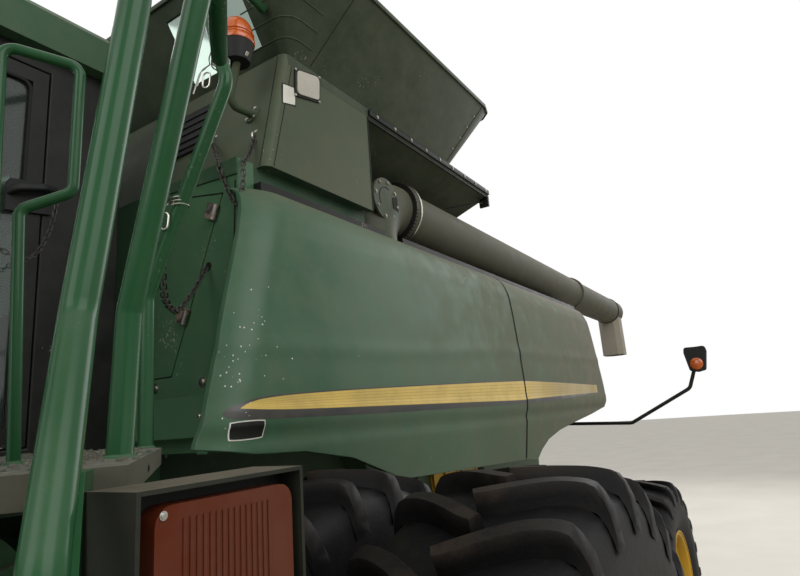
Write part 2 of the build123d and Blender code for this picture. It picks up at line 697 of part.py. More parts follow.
SERVICE_THICK = 12
SERVICE_PIN_X = 12
SERVICE_PIN_OUT = 3
SERVICE_PIN_R = SERVICE_PIN_X - SEAT_GAP
SERVICE_HINGES = (2545, 2925)
with BuildPart() as service_door:
    with BuildSketch(Plane.YZ.offset(AXLE_F + TANK_FRONT + WALL_DEPTH - SERVICE_THICK)):
        with BuildLine():
            Polyline(*DOOR_OUTLINE, close=True)
        make_face()
    extrude(amount=SERVICE_THICK)
    slope = (DOOR_OUTLINE[2][0] - DOOR_OUTLINE[1][0]) / (DOOR_OUTLINE[2][1] - DOOR_OUTLINE[1][1])
    for z in SERVICE_HINGES:
        y = DOOR_OUTLINE[1][0] + SERVICE_PIN_OUT + slope * (z - DOOR_OUTLINE[1][1])
        with Locations((AXLE_F + TANK_FRONT + WALL_DEPTH + SERVICE_PIN_X, y, z)):
            with Locations(Rotation(-math.degrees(math.atan(slope)), 0, 0)):
                Cylinder(SERVICE_PIN_R, 60)
                with Locations((SERVICE_PIN_R, 0, 0)):
                    Box(
                        SERVICE_PIN_R + SERVICE_PIN_X,
                        40,
                        60,
                        align=(Align.MAX, Align.MAX, Align.CENTER),
                    )
write(service_door.part, "service_door")

# Side shields: curved band cut to the side outline, hung from their top edge
SHIELD_BAND = (  # y past the hinge, z from the outer lip down, then back up the inside
    (0, 3000),
    (65, 2975),
    (110, 2900),
    (148, 2474),
    (160, 2250),
    (105, 1740),
    (65, 1740),
    (120, 2250),
    (108, 2474),
    (70, 2885),
    (40, 2940),
    (0, 2955),
)
FRONT_SHIELD = (  # x, z
    (SHIELD_SPLIT + SHIELD_SEAM / 2, 3001),
    (SHIELD_SPLIT + SHIELD_SEAM / 2, 1789),
    (-618, 1850),
    (-76, 2022),
    (476, 2062),
    (216, 3001),
)
REAR_SHIELD = (  # x, z
    (SHIELD_SPLIT - SHIELD_SEAM / 2, 3001),
    (-3980, 3001),
    (-4000, 2943),
    (-4131, 2125),
    (-2796, 1962),
    (-2377, 1763),
    (SHIELD_SPLIT - SHIELD_SEAM / 2, 1789),
)
for side, s in SIDES:
    for place, outline in (("front", FRONT_SHIELD), ("rear", REAR_SHIELD)):
        stations = [x for x, _ in outline]
        with BuildPart() as shield:
            with BuildSketch(Plane.YZ.offset(AXLE_F + min(stations))):
                with BuildLine():
                    Polyline(*[(s * (SHIELD_HINGE_Y + y), z) for y, z in SHIELD_BAND], close=True)
                make_face()
            extrude(amount=max(stations) - min(stations))
            with BuildSketch(Plane.XZ):
                with BuildLine():
                    Polyline(*side_points(outline), close=True)
                make_face()
            extrude(amount=-s * 2 * SHIELD_HINGE_Y, mode=Mode.INTERSECT)
        write(shield.part, f"{side}_{place}_shield")

TILT_NORM = math.hypot(1, AUGER_TILT)
AUGER_UP = (0, -AUGER_TILT / TILT_NORM, 1 / TILT_NORM)
AUGER_CENTRE = (AXLE_F + AUGER_PIVOT_X, AUGER_Y, AUGER_Z)
AUGER_PLANE = Plane(origin=AUGER_CENTRE, x_dir=(-1, 0, 0), z_dir=AUGER_UP)

# Engine deck, the recesses' floors and shield rails, the auger's turret, cradle and stop
WEB_IN = SHIELD_HINGE_Y - LEDGE_THICK
FLANGE_THICK = 20
with BuildPart() as engine_deck:
    with Locations((AXLE_F + DECK_REAR, 0, BODY_TOP)):
        Box(
            TANK_REAR - DECK_REAR,
            2 * (SHIELD_HINGE_Y - SEAT_GAP),
            DECK_THICK,
            align=(Align.MIN, Align.CENTER, Align.MIN),
        )
    for _, s in SIDES:
        with Locations((AXLE_F + DECK_REAR, s * (SHIELD_HINGE_Y - SEAT_GAP), DECK_TOP)):
            Box(
                TANK_FRONT - DECK_REAR,
                LEDGE_THICK,
                LEDGE_Z + LEDGE_THICK - DECK_TOP,
                align=(Align.MIN, Align.MAX if s > 0 else Align.MIN, Align.MIN),
            )
        with Locations((AXLE_F + TANK_REAR, s * RECESS_HALF, LEDGE_Z)):
            Box(
                TANK_FRONT - TANK_REAR,
                SHIELD_HINGE_Y - SEAT_GAP - RECESS_HALF,
                LEDGE_THICK,
                align=(Align.MIN, Align.MIN if s > 0 else Align.MAX, Align.MIN),
            )
    with Locations((AXLE_F + AUGER_PIVOT_X, AUGER_Y + AUGER_TILT * AUGER_BEND, LEDGE_Z)):
        Cylinder(AUGER_R + 30, 5 * LEDGE_THICK, mode=Mode.SUBTRACT)
    with BuildSketch(AUGER_PLANE.offset(-AUGER_BASE_DROP - SEAT_GAP)):
        Circle(AUGER_R - 5)
    extrude(amount=-FLANGE_THICK)
    with BuildSketch(AUGER_PLANE.offset(-AUGER_BASE_DROP - SEAT_GAP - FLANGE_THICK)):
        Circle(AUGER_R - 30)
    extrude(amount=-60)
    with Locations((AXLE_F + AUGER_PIVOT_X, RECESS_HALF - 60, DECK_TOP)):
        Box(
            2 * AUGER_R,
            WEB_IN - RECESS_HALF + 60,
            85,
            align=(Align.CENTER, Align.MIN, Align.MIN),
        )
    with Locations((AXLE_F + CRADLE_X, AUGER_Y, DECK_TOP)):
        Box(
            90,
            130,
            AUGER_Z - AUGER_R - SEAT_GAP - DECK_TOP,
            align=(Align.CENTER, Align.CENTER, Align.MIN),
        )
    with Locations((AXLE_F + CRADLE_X, AUGER_Y - AUGER_R - 5, DECK_TOP)):
        Box(90, 20, AUGER_Z - DECK_TOP, align=(Align.CENTER, Align.MAX, Align.MIN))
write(engine_deck.part, "engine_deck")

ENGINE_X = -2850
with BuildPart() as engine_block:
    with Locations((AXLE_F + ENGINE_X, 0, DECK_TOP)):
        Box(1100, 620, 520, align=(Align.CENTER, Align.CENTER, Align.MIN))
write(engine_block.part, "engine_block")

# Engine hood: a sheet shell with chamfered shoulders, open underneath
HOOD_LEFT = 1000
HOOD_RIGHT = 780
LOUVRES = 7
LOUVRE_PITCH = 48
LOUVRE_LENGTH = 900
LOUVRE_X = -2850
with BuildPart() as engine_hood:
    for wall, mode in ((0, Mode.ADD), (SHEET, Mode.SUBTRACT)):
        with BuildSketch(Plane.YZ.offset(AXLE_F + ENGINE_HOOD_REAR + wall)):
            with BuildLine():
                Polyline(
                    (-HOOD_RIGHT + wall, DECK_TOP),
                    (HOOD_LEFT - wall, DECK_TOP),
                    (HOOD_LEFT - wall, ENGINE_HOOD_TOP - 180 - wall / 2),
                    (HOOD_LEFT - 200 - wall / 2, ENGINE_HOOD_TOP - wall),
                    (-HOOD_RIGHT + wall, ENGINE_HOOD_TOP - wall),
                    close=True,
                )
            make_face()
        extrude(amount=ENGINE_HOOD_FRONT - ENGINE_HOOD_REAR - 2 * wall, mode=mode)
    for row in range(LOUVRES):
        with Locations((AXLE_F + LOUVRE_X, HOOD_LEFT, DECK_TOP + 100 + row * LOUVRE_PITCH)):
            Box(LOUVRE_LENGTH, 14, 12, align=(Align.CENTER, Align.MIN, Align.CENTER))
        with Locations((AXLE_F + ENGINE_HOOD_REAR, 0, DECK_TOP + 100 + row * LOUVRE_PITCH)):
            Box(14, LOUVRE_LENGTH, 12, align=(Align.MAX, Align.CENTER, Align.CENTER))

# Cooling box on the right and its rotary screen
COOLER_X = -2950
COOLER_LENGTH = 1000
COOLER_TOP = 3560
COOLER_OUT = 1250
SCREEN_Z = 3215
SCREEN_R = 320
with BuildPart() as cooling_box:
    with Locations((AXLE_F + COOLER_X, -HOOD_RIGHT, DECK_TOP)):
        Box(
            COOLER_LENGTH,
            COOLER_OUT - HOOD_RIGHT,
            COOLER_TOP - DECK_TOP,
            align=(Align.CENTER, Align.MAX, Align.MIN),
        )

with BuildPart() as cooling_screen:
    with BuildSketch(Plane.XZ.offset(COOLER_OUT + 5)):
        with Locations((AXLE_F + COOLER_X, SCREEN_Z)):
            Circle(SCREEN_R)
    extrude(amount=60)
    with BuildSketch(Plane.XZ.offset(COOLER_OUT + SEAT_GAP)):
        with Locations((AXLE_F + COOLER_X, SCREEN_Z)):
            Circle(60)
    extrude(amount=100)
write(cooling_screen.part, "cooling_screen")

with BuildPart() as exhaust_stack:
    with Locations((AXLE_F - 2420, -300, ENGINE_HOOD_TOP)):
        Cylinder(110, 160, align=(Align.CENTER, Align.CENTER, Align.MIN))
        Cylinder(70, 420, align=(Align.CENTER, Align.CENTER, Align.MIN))
        Cylinder(62, 440, align=(Align.CENTER, Align.CENTER, Align.MIN), mode=Mode.SUBTRACT)
write(engine_hood.part + cooling_box.part + exhaust_stack.part, "engine_hood")

# Straw hood: a sheet shell, open below its rear half
HOOD_SIDE = (  # x, z
    (SEPARATOR_REAR, FRAME_TOP),
    (SEPARATOR_REAR, BODY_TOP),
    (-4150, BODY_TOP),
    (-4450, 2450),
    (-4520, 1900),
    (-4440, FRAME_TOP),
)
with BuildPart() as straw_hood:
    with BuildSketch(Plane.XZ):
        with BuildLine():
            Polyline(*side_points(HOOD_SIDE), close=True)
        make_face()
    extrude(amount=HOOD_HALF, both=True)
    with BuildSketch(Plane.XZ):
        with BuildLine():
            Polyline(*side_points(HOOD_SIDE), close=True)
        make_face()
        offset(amount=-SHEET, kind=Kind.INTERSECTION, mode=Mode.REPLACE)
    extrude(amount=HOOD_HALF - SHEET, both=True, mode=Mode.SUBTRACT)
    with Locations((AXLE_F + RAIL_REAR - 30, 0, FRAME_TOP)):
        Box(
            620,
            2 * (HOOD_HALF - SHEET),
            4 * SHEET,
            align=(Align.MAX, Align.CENTER, Align.CENTER),
            mode=Mode.SUBTRACT,
        )

# Chopper housing, rotor and the tailboard behind them
CHOPPER_X, CHOPPER_Z, CHOPPER_R = -4110, 1130, 230
KNIFE_ROWS = 6
KNIFE_PITCH = 108
CHOPPER_SIDE = (  # x, z
    (RAIL_REAR - 10, FRAME_TOP),
    (RAIL_REAR - 10, 1020),
    (-4110, 850),
    (-4330, 900),
    (-4440, FRAME_TOP),
)
with BuildPart() as chopper_housing:
    with BuildSketch(Plane.XZ):
        with BuildLine():
            Polyline(*side_points(CHOPPER_SIDE), close=True)
        make_face()
    extrude(amount=HOOD_HALF, both=True)
    with BuildSketch(Plane.XZ):
        with BuildLine():
            Polyline(*side_points(CHOPPER_SIDE), close=True)
        make_face()
        offset(amount=-SHEET, kind=Kind.INTERSECTION, mode=Mode.REPLACE)
    extrude(amount=HOOD_HALF - SHEET, both=True, mode=Mode.SUBTRACT)
    with Locations((AXLE_F - 4330, 0, 910)):
        Box(
            400,
            2 * (HOOD_HALF - SHEET),
            900,
            align=(Align.MAX, Align.CENTER, Align.MIN),
            mode=Mode.SUBTRACT,
        )
    with Locations((AXLE_F + RAIL_REAR - 10 - SHEET, 0, FRAME_TOP)):
        Box(
            620,
            2 * (HOOD_HALF - SHEET),
            4 * SHEET,
            align=(Align.MAX, Align.CENTER, Align.CENTER),
            mode=Mode.SUBTRACT,
        )
write(straw_hood.part + chopper_housing.part, "straw_hood")

with BuildPart() as chopper_rotor:
    with BuildSketch(Plane.XZ):
        with Locations((AXLE_F + CHOPPER_X, CHOPPER_Z)):
            Circle(80)
    extrude(amount=HOOD_HALF - SHEET - SEAT_GAP, both=True)
    with Locations((AXLE_F + CHOPPER_X, 0, CHOPPER_Z)):
        for k in range(-KNIFE_ROWS, KNIFE_ROWS + 1):
            with Locations((0, k * KNIFE_PITCH, 0)):
                with Locations(Rotation(0, 45 + 90 * (k % 2), 0)):
                    Box(2 * CHOPPER_R - 20, 8, 60)
write(chopper_rotor.part, "chopper_rotor")

TAIL_SIDE = (  # x, z
    (-4347, 905),
    (-4347, 925),
    (-4850, 860),
    (-4850, 840),
)
CHEEK_SIDE = (  # x, z
    (-4230, 905),
    (-4230, 1010),
    (-4300, 1040),
    (-4850, 860),
    (-4850, 840),
    (-4347, 905),
)
CHEEK = 12
with BuildPart() as tailboard:
    with BuildSketch(Plane.XZ):
        with BuildLine():
            Polyline(*side_points(TAIL_SIDE), close=True)
        make_face()
    extrude(amount=HOOD_HALF + SEAT_GAP + CHEEK, both=True)
    for _, s in SIDES:
        with BuildSketch(Plane.XZ.offset(-s * (HOOD_HALF + SEAT_GAP))):
            with BuildLine():
                Polyline(*side_points(CHEEK_SIDE), close=True)
            make_face()
        extrude(amount=-s * CHEEK)
    for k in range(-3, 4):
        with BuildSketch(Plane.XZ.offset(k * 190)):
            with BuildLine():
                Polyline(*side_points(((-4370, 918), (-4840, 860), (-4840, 740), (-4420, 860))), close=True)
            make_face()
        extrude(amount=6, both=True)
write(tailboard.part, "tailboard")

# Feeder house: a sloping tunnel around its top pivot, cut off by an upright face frame
SLOPE = math.radians(FEEDER_SLOPE)
FEEDER_PIVOT = (AXLE_F + FEEDER_PIVOT_X, FEEDER_PIVOT_Z)
FEEDER_AXIS = Plane(
    origin=(FEEDER_PIVOT[0], 0, FEEDER_PIVOT[1]),
    x_dir=(math.cos(SLOPE), 0, -math.sin(SLOPE)),
    z_dir=(0, -1, 0),
)
FACE_BACK = FEEDER_REACH - FACE_THICK
FEEDER_RUN = (FACE_BACK - FEEDER_PIVOT_X) / math.cos(SLOPE)
MOUTH_LOW = 465
MOUTH_HIGH = 1095
with BuildPart() as feeder_house:
    with BuildSketch(FEEDER_AXIS):
        with Locations((FEEDER_RUN / 2 + 150, 0)):
            Rectangle(FEEDER_RUN + 300, FEEDER_DEPTH)
        Circle(FEEDER_DEPTH / 2)
    extrude(amount=FEEDER_HALF, both=True)
    with BuildSketch(FEEDER_AXIS):
        with Locations((FEEDER_RUN / 2 - 100, 0)):
            Rectangle(FEEDER_RUN + 1200, FEEDER_DEPTH - 2 * FEEDER_WALL)
    extrude(amount=FEEDER_HALF - FEEDER_WALL, both=True, mode=Mode.SUBTRACT)
    with Locations((AXLE_F + FACE_BACK, 0, 0)):
        Box(1000, 3 * FEEDER_HALF, 3000, align=(Align.MIN, Align.CENTER, Align.MIN), mode=Mode.SUBTRACT)
    with Locations((AXLE_F + FACE_BACK, 0, FACE_LOW)):
        Box(FACE_THICK, 2 * FACE_HALF, FACE_HEIGHT, align=(Align.MIN, Align.CENTER, Align.MIN))
    with Locations((AXLE_F + FACE_BACK, 0, (MOUTH_LOW + MOUTH_HIGH) / 2)):
        Box(
            3 * FACE_THICK,
            2 * (FEEDER_HALF - FEEDER_WALL),
            MOUTH_HIGH - MOUTH_LOW,
            mode=Mode.SUBTRACT,
        )
    with BuildSketch(Plane.XZ):
        with Locations((AXLE_F + FEEDER_REACH - FACE_THICK / 2, LATCH_Z)):
            Circle(LATCH_R)
    extrude(amount=FACE_HALF, both=True, mode=Mode.SUBTRACT)
    with BuildSketch(Plane.XZ):
        with Locations(FEEDER_PIVOT):
            Circle(FEEDER_PIN_R + RUNNING)
    extrude(amount=FEEDER_HALF, both=True, mode=Mode.SUBTRACT)
    for _, s in SIDES:
        with Locations((AXLE_F + LIFT_EYE[0], s * LIFT_HALF, LIFT_EYE[1])):
            for ear in (-1, 1):
                with Locations((0, ear * 48, 0)):
                    Box(120, 20, 230)
            with Locations(Rotation(90, 0, 0)):
                Cylinder(LIFT_PIN_R, 116)
write(feeder_house.part, "feeder_house")

# Feeder chain: three strands round two drums, with cross slats
CHAIN_R = 150
CHAIN_THICK = 14
CHAIN_FRONT = FEEDER_RUN - 330
CHAIN_STRANDS = (-560, 0, 560)
SLAT_PITCH = 252
SLAT_HEIGHT = 55
CHAIN_TOP = FEEDER_DEPTH / 2 - FEEDER_WALL - SLAT_HEIGHT - CHAIN_THICK - 40 - CHAIN_R
with BuildPart() as feeder_chain:
    for strand in CHAIN_STRANDS:
        with BuildSketch(FEEDER_AXIS.offset(strand)):
            for radius, mode in ((CHAIN_R, Mode.ADD), (CHAIN_R - CHAIN_THICK, Mode.SUBTRACT)):
                with BuildLine():
                    Polyline(*loop_points(CHAIN_FRONT, radius), close=True)
                make_face(mode=mode)
        extrude(amount=22, both=True)
    for station in (0, CHAIN_FRONT):
        with BuildSketch(FEEDER_AXIS):
            with Locations((station, 0)):
                RegularPolygon(CHAIN_R - CHAIN_THICK, 8, rotation=22.5)
        extrude(amount=FEEDER_HALF - FEEDER_WALL - SEAT_GAP, both=True)
    slat_count = int(CHAIN_FRONT / SLAT_PITCH)
    for k in range(slat_count + 1):
        for side in (1, -1):
            with Locations(FEEDER_AXIS):
                with Locations((k * SLAT_PITCH, side * (CHAIN_R + SLAT_HEIGHT / 2), 0)):
                    Box(24, SLAT_HEIGHT, 2 * (FEEDER_HALF - FEEDER_WALL - 15))
write(feeder_chain.part, "feeder_chain")

# Lift cylinders: barrels pinned to the front axle, rods reaching for the feeder's ears
LIFT_DX = LIFT_EYE[0] - LIFT_PIN[0]
LIFT_DZ = LIFT_EYE[1] - LIFT_PIN[1]
LIFT_SPAN = math.hypot(LIFT_DX, LIFT_DZ)
LIFT_AXIS = Plane(
    origin=(AXLE_F + LIFT_PIN[0], 0, LIFT_PIN[1]),
    x_dir=(0, 1, 0),
    z_dir=(LIFT_DX, 0, LIFT_DZ),
)
BARREL_LENGTH = LIFT_SPAN - 260
BARREL_START = 90
BARREL_NECK_R = 34
with BuildPart() as lift_barrels:
    for _, s in SIDES:
        with BuildSketch(LIFT_AXIS):
            with Locations((s * LIFT_HALF, 0)):
                Circle(BARREL_NECK_R)
        extrude(amount=BARREL_START)
        with BuildSketch(LIFT_AXIS.offset(BARREL_START)):
            with Locations((s * LIFT_HALF, 0)):
                Circle(LIFT_BARREL_R)
        extrude(amount=BARREL_LENGTH - BARREL_START)
        with BuildSketch(LIFT_AXIS.offset(BARREL_START + 40)):
            with Locations((s * LIFT_HALF, 0)):
                Circle(LIFT_ROD_R + RUNNING)
        extrude(amount=BARREL_LENGTH, mode=Mode.SUBTRACT)
        with BuildSketch(Plane.XZ.offset(-s * LIFT_HALF)):
            with Locations((AXLE_F + LIFT_PIN[0], LIFT_PIN[1])):
                Circle(60)
        extrude(amount=35, both=True)
        with BuildSketch(Plane.XZ.offset(-s * LIFT_HALF)):
            with Locations((AXLE_F + LIFT_PIN[0], LIFT_PIN[1])):
                Circle(LIFT_PIN_R + RUNNING)
        extrude(amount=35, both=True, mode=Mode.SUBTRACT)
write(lift_barrels.part, "lift_barrels")

with BuildPart() as lift_rods:
    for _, s in SIDES:
        with BuildSketch(LIFT_AXIS.offset(500)):
            with Locations((s * LIFT_HALF, 0)):
                Circle(LIFT_ROD_R)
        extrude(amount=LIFT_SPAN - 500 - LIFT_PIN_R - EYE_PLAY - 5)
        with BuildSketch(Plane.XZ.offset(-s * LIFT_HALF)):
            with Locations((AXLE_F + LIFT_EYE[0], LIFT_EYE[1])):
                Circle(LIFT_EYE_R)
        extrude(amount=32, both=True)
        with BuildSketch(Plane.XZ.offset(-s * LIFT_HALF)):
            with Locations((AXLE_F + LIFT_EYE[0], LIFT_EYE[1])):
                Circle(LIFT_PIN_R + EYE_PLAY)
        extrude(amount=32, both=True, mode=Mode.SUBTRACT)
write(lift_rods.part, "lift_rods")

# Cab shell: floor, posts and roof ring, with door, windscreen and window openings
CAB_SIDE = (  # x, z
    (CAB_REAR, CAB_FLOOR),
    (1850, CAB_FLOOR),
    (1990, 2200),
    (1930, CAB_ROOF_Z),
    (CAB_REAR, CAB_ROOF_Z),
)
DOOR_LOW = CAB_FLOOR + 110
DOOR_HIGH = CAB_ROOF_Z - 70
QUARTER_FRONT = 1840
with BuildPart() as cab_shell:
    with BuildSketch(Plane.XZ):
        with BuildLine():
            Polyline(*side_points(CAB_SIDE), close=True)
        make_face()
    extrude(amount=CAB_HALF, both=True)
    with BuildSketch(Plane.XZ):
        with BuildLine():
            Polyline(*side_points(CAB_SIDE), close=True)
        make_face()
        offset(amount=-CAB_SHELL, kind=Kind.INTERSECTION, mode=Mode.REPLACE)
    extrude(amount=CAB_HALF - CAB_SHELL, both=True, mode=Mode.SUBTRACT)
    for low_x, high_x, low_z in ((DOOR_REAR, DOOR_FRONT, DOOR_LOW), (DOOR_FRONT + 70, QUARTER_FRONT, 2260)):
        with Locations((AXLE_F + low_x, 0, low_z)):
            Box(
                high_x - low_x,
                3 * CAB_HALF,
                DOOR_HIGH - low_z,
                align=(Align.MIN, Align.CENTER, Align.MIN),
                mode=Mode.SUBTRACT,
            )
    with Locations((AXLE_F + 1990, 0, 2230)):
        Box(
            400,
            2 * (CAB_HALF - 90),
            DOOR_HIGH - 2230,
            align=(Align.CENTER, Align.CENTER, Align.MIN),
            mode=Mode.SUBTRACT,
        )
    with Locations((AXLE_F + CAB_REAR, 0, 2700)):
        Box(
            3 * CAB_SHELL,
            1100,
            DOOR_HIGH - 2700,
            align=(Align.CENTER, Align.CENTER, Align.MIN),
            mode=Mode.SUBTRACT,
        )
write(cab_shell.part, "cab_shell")

# Cab roof: a rounded cap overhanging the windscreen
with BuildPart() as cab_roof:
    with BuildSketch(Plane.XY.offset(CAB_ROOF_Z)):
        with Locations((AXLE_F + 1230, 0)):
            RectangleRounded(1960, 1880, 160)
    extrude(amount=CAB_ROOF_THICK)
    chamfer(cab_roof.faces().sort_by(Axis.Z)[-1].edges(), length=55)

# Cab door: a framed pane hinged at its front edge
DOOR_FRAME = 55
DOOR_HINGE_OUT = 15
DOOR_HINGES = (2300, 2800, 3300)
with BuildPart() as cab_door:
    with Locations((AXLE_F + DOOR_REAR + DOOR_GAP, CAB_HALF, DOOR_LOW + DOOR_GAP)):
        Box(
            DOOR_FRONT - DOOR_REAR - 2 * DOOR_GAP,
            DOOR_THICK,
            DOOR_HIGH - DOOR_LOW - 2 * DOOR_GAP,
            align=(Align.MIN, Align.MAX, Align.MIN),
        )
        with Locations((DOOR_FRAME, 0, DOOR_FRAME)):
            Box(
                DOOR_FRONT - DOOR_REAR - 2 * (DOOR_GAP + DOOR_FRAME),
                3 * DOOR_THICK,
                DOOR_HIGH - DOOR_LOW - 2 * (DOOR_GAP + DOOR_FRAME),
                align=(Align.MIN, Align.CENTER, Align.MIN),
                mode=Mode.SUBTRACT,
            )
    for z in DOOR_HINGES:
        with Locations((AXLE_F + DOOR_HINGE_X, CAB_HALF + DOOR_HINGE_OUT, z)):
            Cylinder(DOOR_HINGE_OUT - SEAT_GAP, 90)
            Box(90, 8, 90, align=(Align.MAX, Align.MAX, Align.CENTER))
            with Locations((-45, 0, 0)):
                Box(45, DOOR_HINGE_OUT, 90, align=(Align.MAX, Align.MAX, Align.CENTER))
write(cab_door.part, "cab_door")

with BuildPart() as cab_door_glass:
    with Locations((AXLE_F + DOOR_REAR + DOOR_GAP + DOOR_FRAME, CAB_HALF - 15, DOOR_LOW + DOOR_GAP + DOOR_FRAME)):
        Box(
            DOOR_FRONT - DOOR_REAR - 2 * (DOOR_GAP + DOOR_FRAME),
            GLASS,
            DOOR_HIGH - DOOR_LOW - 2 * (DOOR_GAP + DOOR_FRAME),
            align=(Align.MIN, Align.MAX, Align.MIN),
        )
write(cab_door_glass.part, "cab_door_glass")

# Fixed glass: windscreen, quarter lights, right and rear windows, tank windows
with BuildPart() as fixed_glass:
    with BuildSketch(Plane.XZ):
        with BuildLine():
            Polyline(
                *side_points(
                    (
                        (1960, 2230),
                        (1960 + GLASS, 2230),
                        (1912 + GLASS, DOOR_HIGH),
                        (1912, DOOR_HIGH),
                    )
                ),
                close=True,
            )
        make_face()
    extrude(amount=CAB_HALF - 90, both=True)
    for s, low_x, high_x, low_z in (
        (-1, DOOR_REAR, DOOR_FRONT, DOOR_LOW),
        (-1, DOOR_FRONT + 70, QUARTER_FRONT, 2260),
        (1, DOOR_FRONT + 70, QUARTER_FRONT, 2260),
    ):
        with Locations((AXLE_F + low_x, s * (CAB_HALF - 15), low_z)):
            Box(
                high_x - low_x,
                GLASS,
                DOOR_HIGH - low_z,
                align=(Align.MIN, Align.MAX if s > 0 else Align.MIN, Align.MIN),
            )
    with Locations((AXLE_F + CAB_REAR + 20, 0, 2700)):
        Box(GLASS, 1100, DOOR_HIGH - 2700, align=(Align.MIN, Align.CENTER, Align.MIN))
    flare = EXTENSION_FLARE / (EXTENSION_TOP - TANK_TOP)
    for _, s in SIDES:
        with BuildSketch(Plane.XZ.offset(-s * (WINDOW_Y + WINDOW_WIDTH / 2))):
            with BuildLine():
                low_x = HOPPER_FRONT - EXTENSION_WALL + flare * (WINDOW_LOW - TANK_TOP)
                high_x = HOPPER_FRONT - EXTENSION_WALL + flare * (WINDOW_HIGH - TANK_TOP)
                Polyline(
                    *side_points(
                        (
                            (low_x, WINDOW_LOW),
                            (low_x + GLASS, WINDOW_LOW),
                            (high_x + GLASS, WINDOW_HIGH),
                            (high_x, WINDOW_HIGH),
                        )
                    ),
                    close=True,
                )
            make_face()
        extrude(amount=s * WINDOW_WIDTH)
write(fixed_glass.part, "fixed_glass")

# Cab interior: floor console, seat base, steering column and wheel
STEERING_TILT = 20
with BuildPart() as cab_interior:
    floor = CAB_FLOOR + CAB_SHELL
    with Locations((AXLE_F + 900, 0, floor)):
        Box(420, 460, 380, align=(Align.CENTER, Align.CENTER, Align.MIN))
    with Locations((AXLE_F + 1050, -420, floor)):
        Box(760, 240, 620, align=(Align.CENTER, Align.CENTER, Align.MIN))
    with Locations((AXLE_F + 1560, 0, floor)):
        Box(160, 160, 620, align=(Align.CENTER, Align.CENTER, Align.MIN))
    with Locations((AXLE_F + 1545, 0, floor + 660)):
        with Locations(Rotation(0, -STEERING_TILT, 0)):
            Cylinder(35, 110)
            with Locations((0, 0, 55)):
                Box(380, 40, 16)
    tilt = math.radians(STEERING_TILT)
    with BuildSketch(
        Plane(
            origin=(AXLE_F + 1545, 0, floor + 660),
            x_dir=(math.cos(tilt), 0, math.sin(tilt)),
            z_dir=(-math.sin(tilt), 0, math.cos(tilt)),
        ).offset(55)
    ):
        RegularPolygon(200, 20)
        RegularPolygon(172, 20, mode=Mode.SUBTRACT)
    extrude(amount=13, both=True)

with BuildPart() as operator_seat:
    with Locations((AXLE_F + 920, 0, CAB_FLOOR + CAB_SHELL + 380)):
        Box(500, 500, 130, align=(Align.CENTER, Align.CENTER, Align.MIN))
        with Locations((-190, 0, 130)):
            Box(120, 480, 640, align=(Align.CENTER, Align.CENTER, Align.MIN))
write(cab_interior.part + operator_seat.part, "cab_interior")

# Platform: cab subframe, outriggers and the deck with its slanting rear corner
SUBFRAME_TOP = CAB_FLOOR
SUBFRAME_LOW = WALL_LOW
SUBFRAME_Y = 800
SUBFRAME_FRONT = 1850
DECK_PLAN = (  # x, y
    (560, CAB_HALF + 15),
    (680, 1690),
    (1180, 2340),
    (1678, 1971),
    (1760, 1600),
    (1760, CAB_HALF + 15),
)
OUTRIGGERS = (  # x, outer y
    (790, 1700),
    (1300, 2150),
    (1640, 1850),
)
LADDER_RUN = 185
LADDER_WIDTH = 520
LADDER_FOOT = 380
LADDER_STEPS = 5
LADDER_PIVOT = (310, 12)
LADDER_PIN_R = 12
LADDER_BARREL = 55
LADDER_BARREL_TOP = PLATFORM_TOP - PLATFORM_THICK - 5
EDGE = math.atan2(1971 - 2340, 1678 - 1180)
LADDER_MID = (AXLE_F + 1429, 2155.5)
LADDER_OUT = (-math.sin(EDGE), math.cos(EDGE))
LADDER_PLANE = Plane(
    origin=(LADDER_MID[0] + 8 * LADDER_OUT[0], LADDER_MID[1] + 8 * LADDER_OUT[1], PLATFORM_TOP),
    x_dir=(math.cos(EDGE), math.sin(EDGE), 0),
    z_dir=(0, 0, 1),
)
with BuildPart() as platform:
    for _, s in SIDES:
        with Locations((AXLE_F + TANK_FRONT + WALL_DEPTH, s * SUBFRAME_Y, SUBFRAME_LOW)):
            Box(
                SUBFRAME_FRONT - TANK_FRONT - WALL_DEPTH,
                90,
                SUBFRAME_TOP - SUBFRAME_LOW,
                align=(Align.MIN, Align.CENTER, Align.MIN),
            )
    for station in (TANK_FRONT + WALL_DEPTH, SUBFRAME_FRONT - 100):
        with Locations((AXLE_F + station, 0, SUBFRAME_LOW)):
            Box(
                100,
                2 * SUBFRAME_Y,
                SUBFRAME_TOP - SUBFRAME_LOW,
                align=(Align.MIN, Align.CENTER, Align.MIN),
            )
    with BuildSketch(Plane.XY.offset(PLATFORM_TOP - PLATFORM_THICK)):
        with BuildLine():
            Polyline(*[(AXLE_F + x, y) for x, y in DECK_PLAN], close=True)
        make_face()
    extrude(amount=PLATFORM_THICK)
    with Locations(LADDER_PLANE):
        with Locations((*LADDER_PIVOT, 0)):
            Cylinder(22, PLATFORM_THICK, align=(Align.CENTER, Align.CENTER, Align.MAX))
            Cylinder(
                LADDER_PIN_R,
                PLATFORM_TOP - LADDER_BARREL_TOP + LADDER_BARREL,
                align=(Align.CENTER, Align.CENTER, Align.MAX),
            )
    deck_low = PLATFORM_TOP - PLATFORM_THICK
    for station, out_y in OUTRIGGERS:
        with BuildSketch(Plane.YZ.offset(AXLE_F + station)):
            with BuildLine():
                Polyline(
                    (SUBFRAME_Y, SUBFRAME_LOW),
                    (SUBFRAME_Y, SUBFRAME_TOP),
                    (CAB_HALF + 15, SUBFRAME_TOP),
                    (CAB_HALF + 15, deck_low),
                    (out_y, deck_low),
                    (out_y, deck_low - 50),
                    (CAB_HALF + 200, deck_low - 50),
                    (CAB_HALF + 60, SUBFRAME_LOW),
                    close=True,
                )
            make_face()
        extrude(amount=40, both=True)


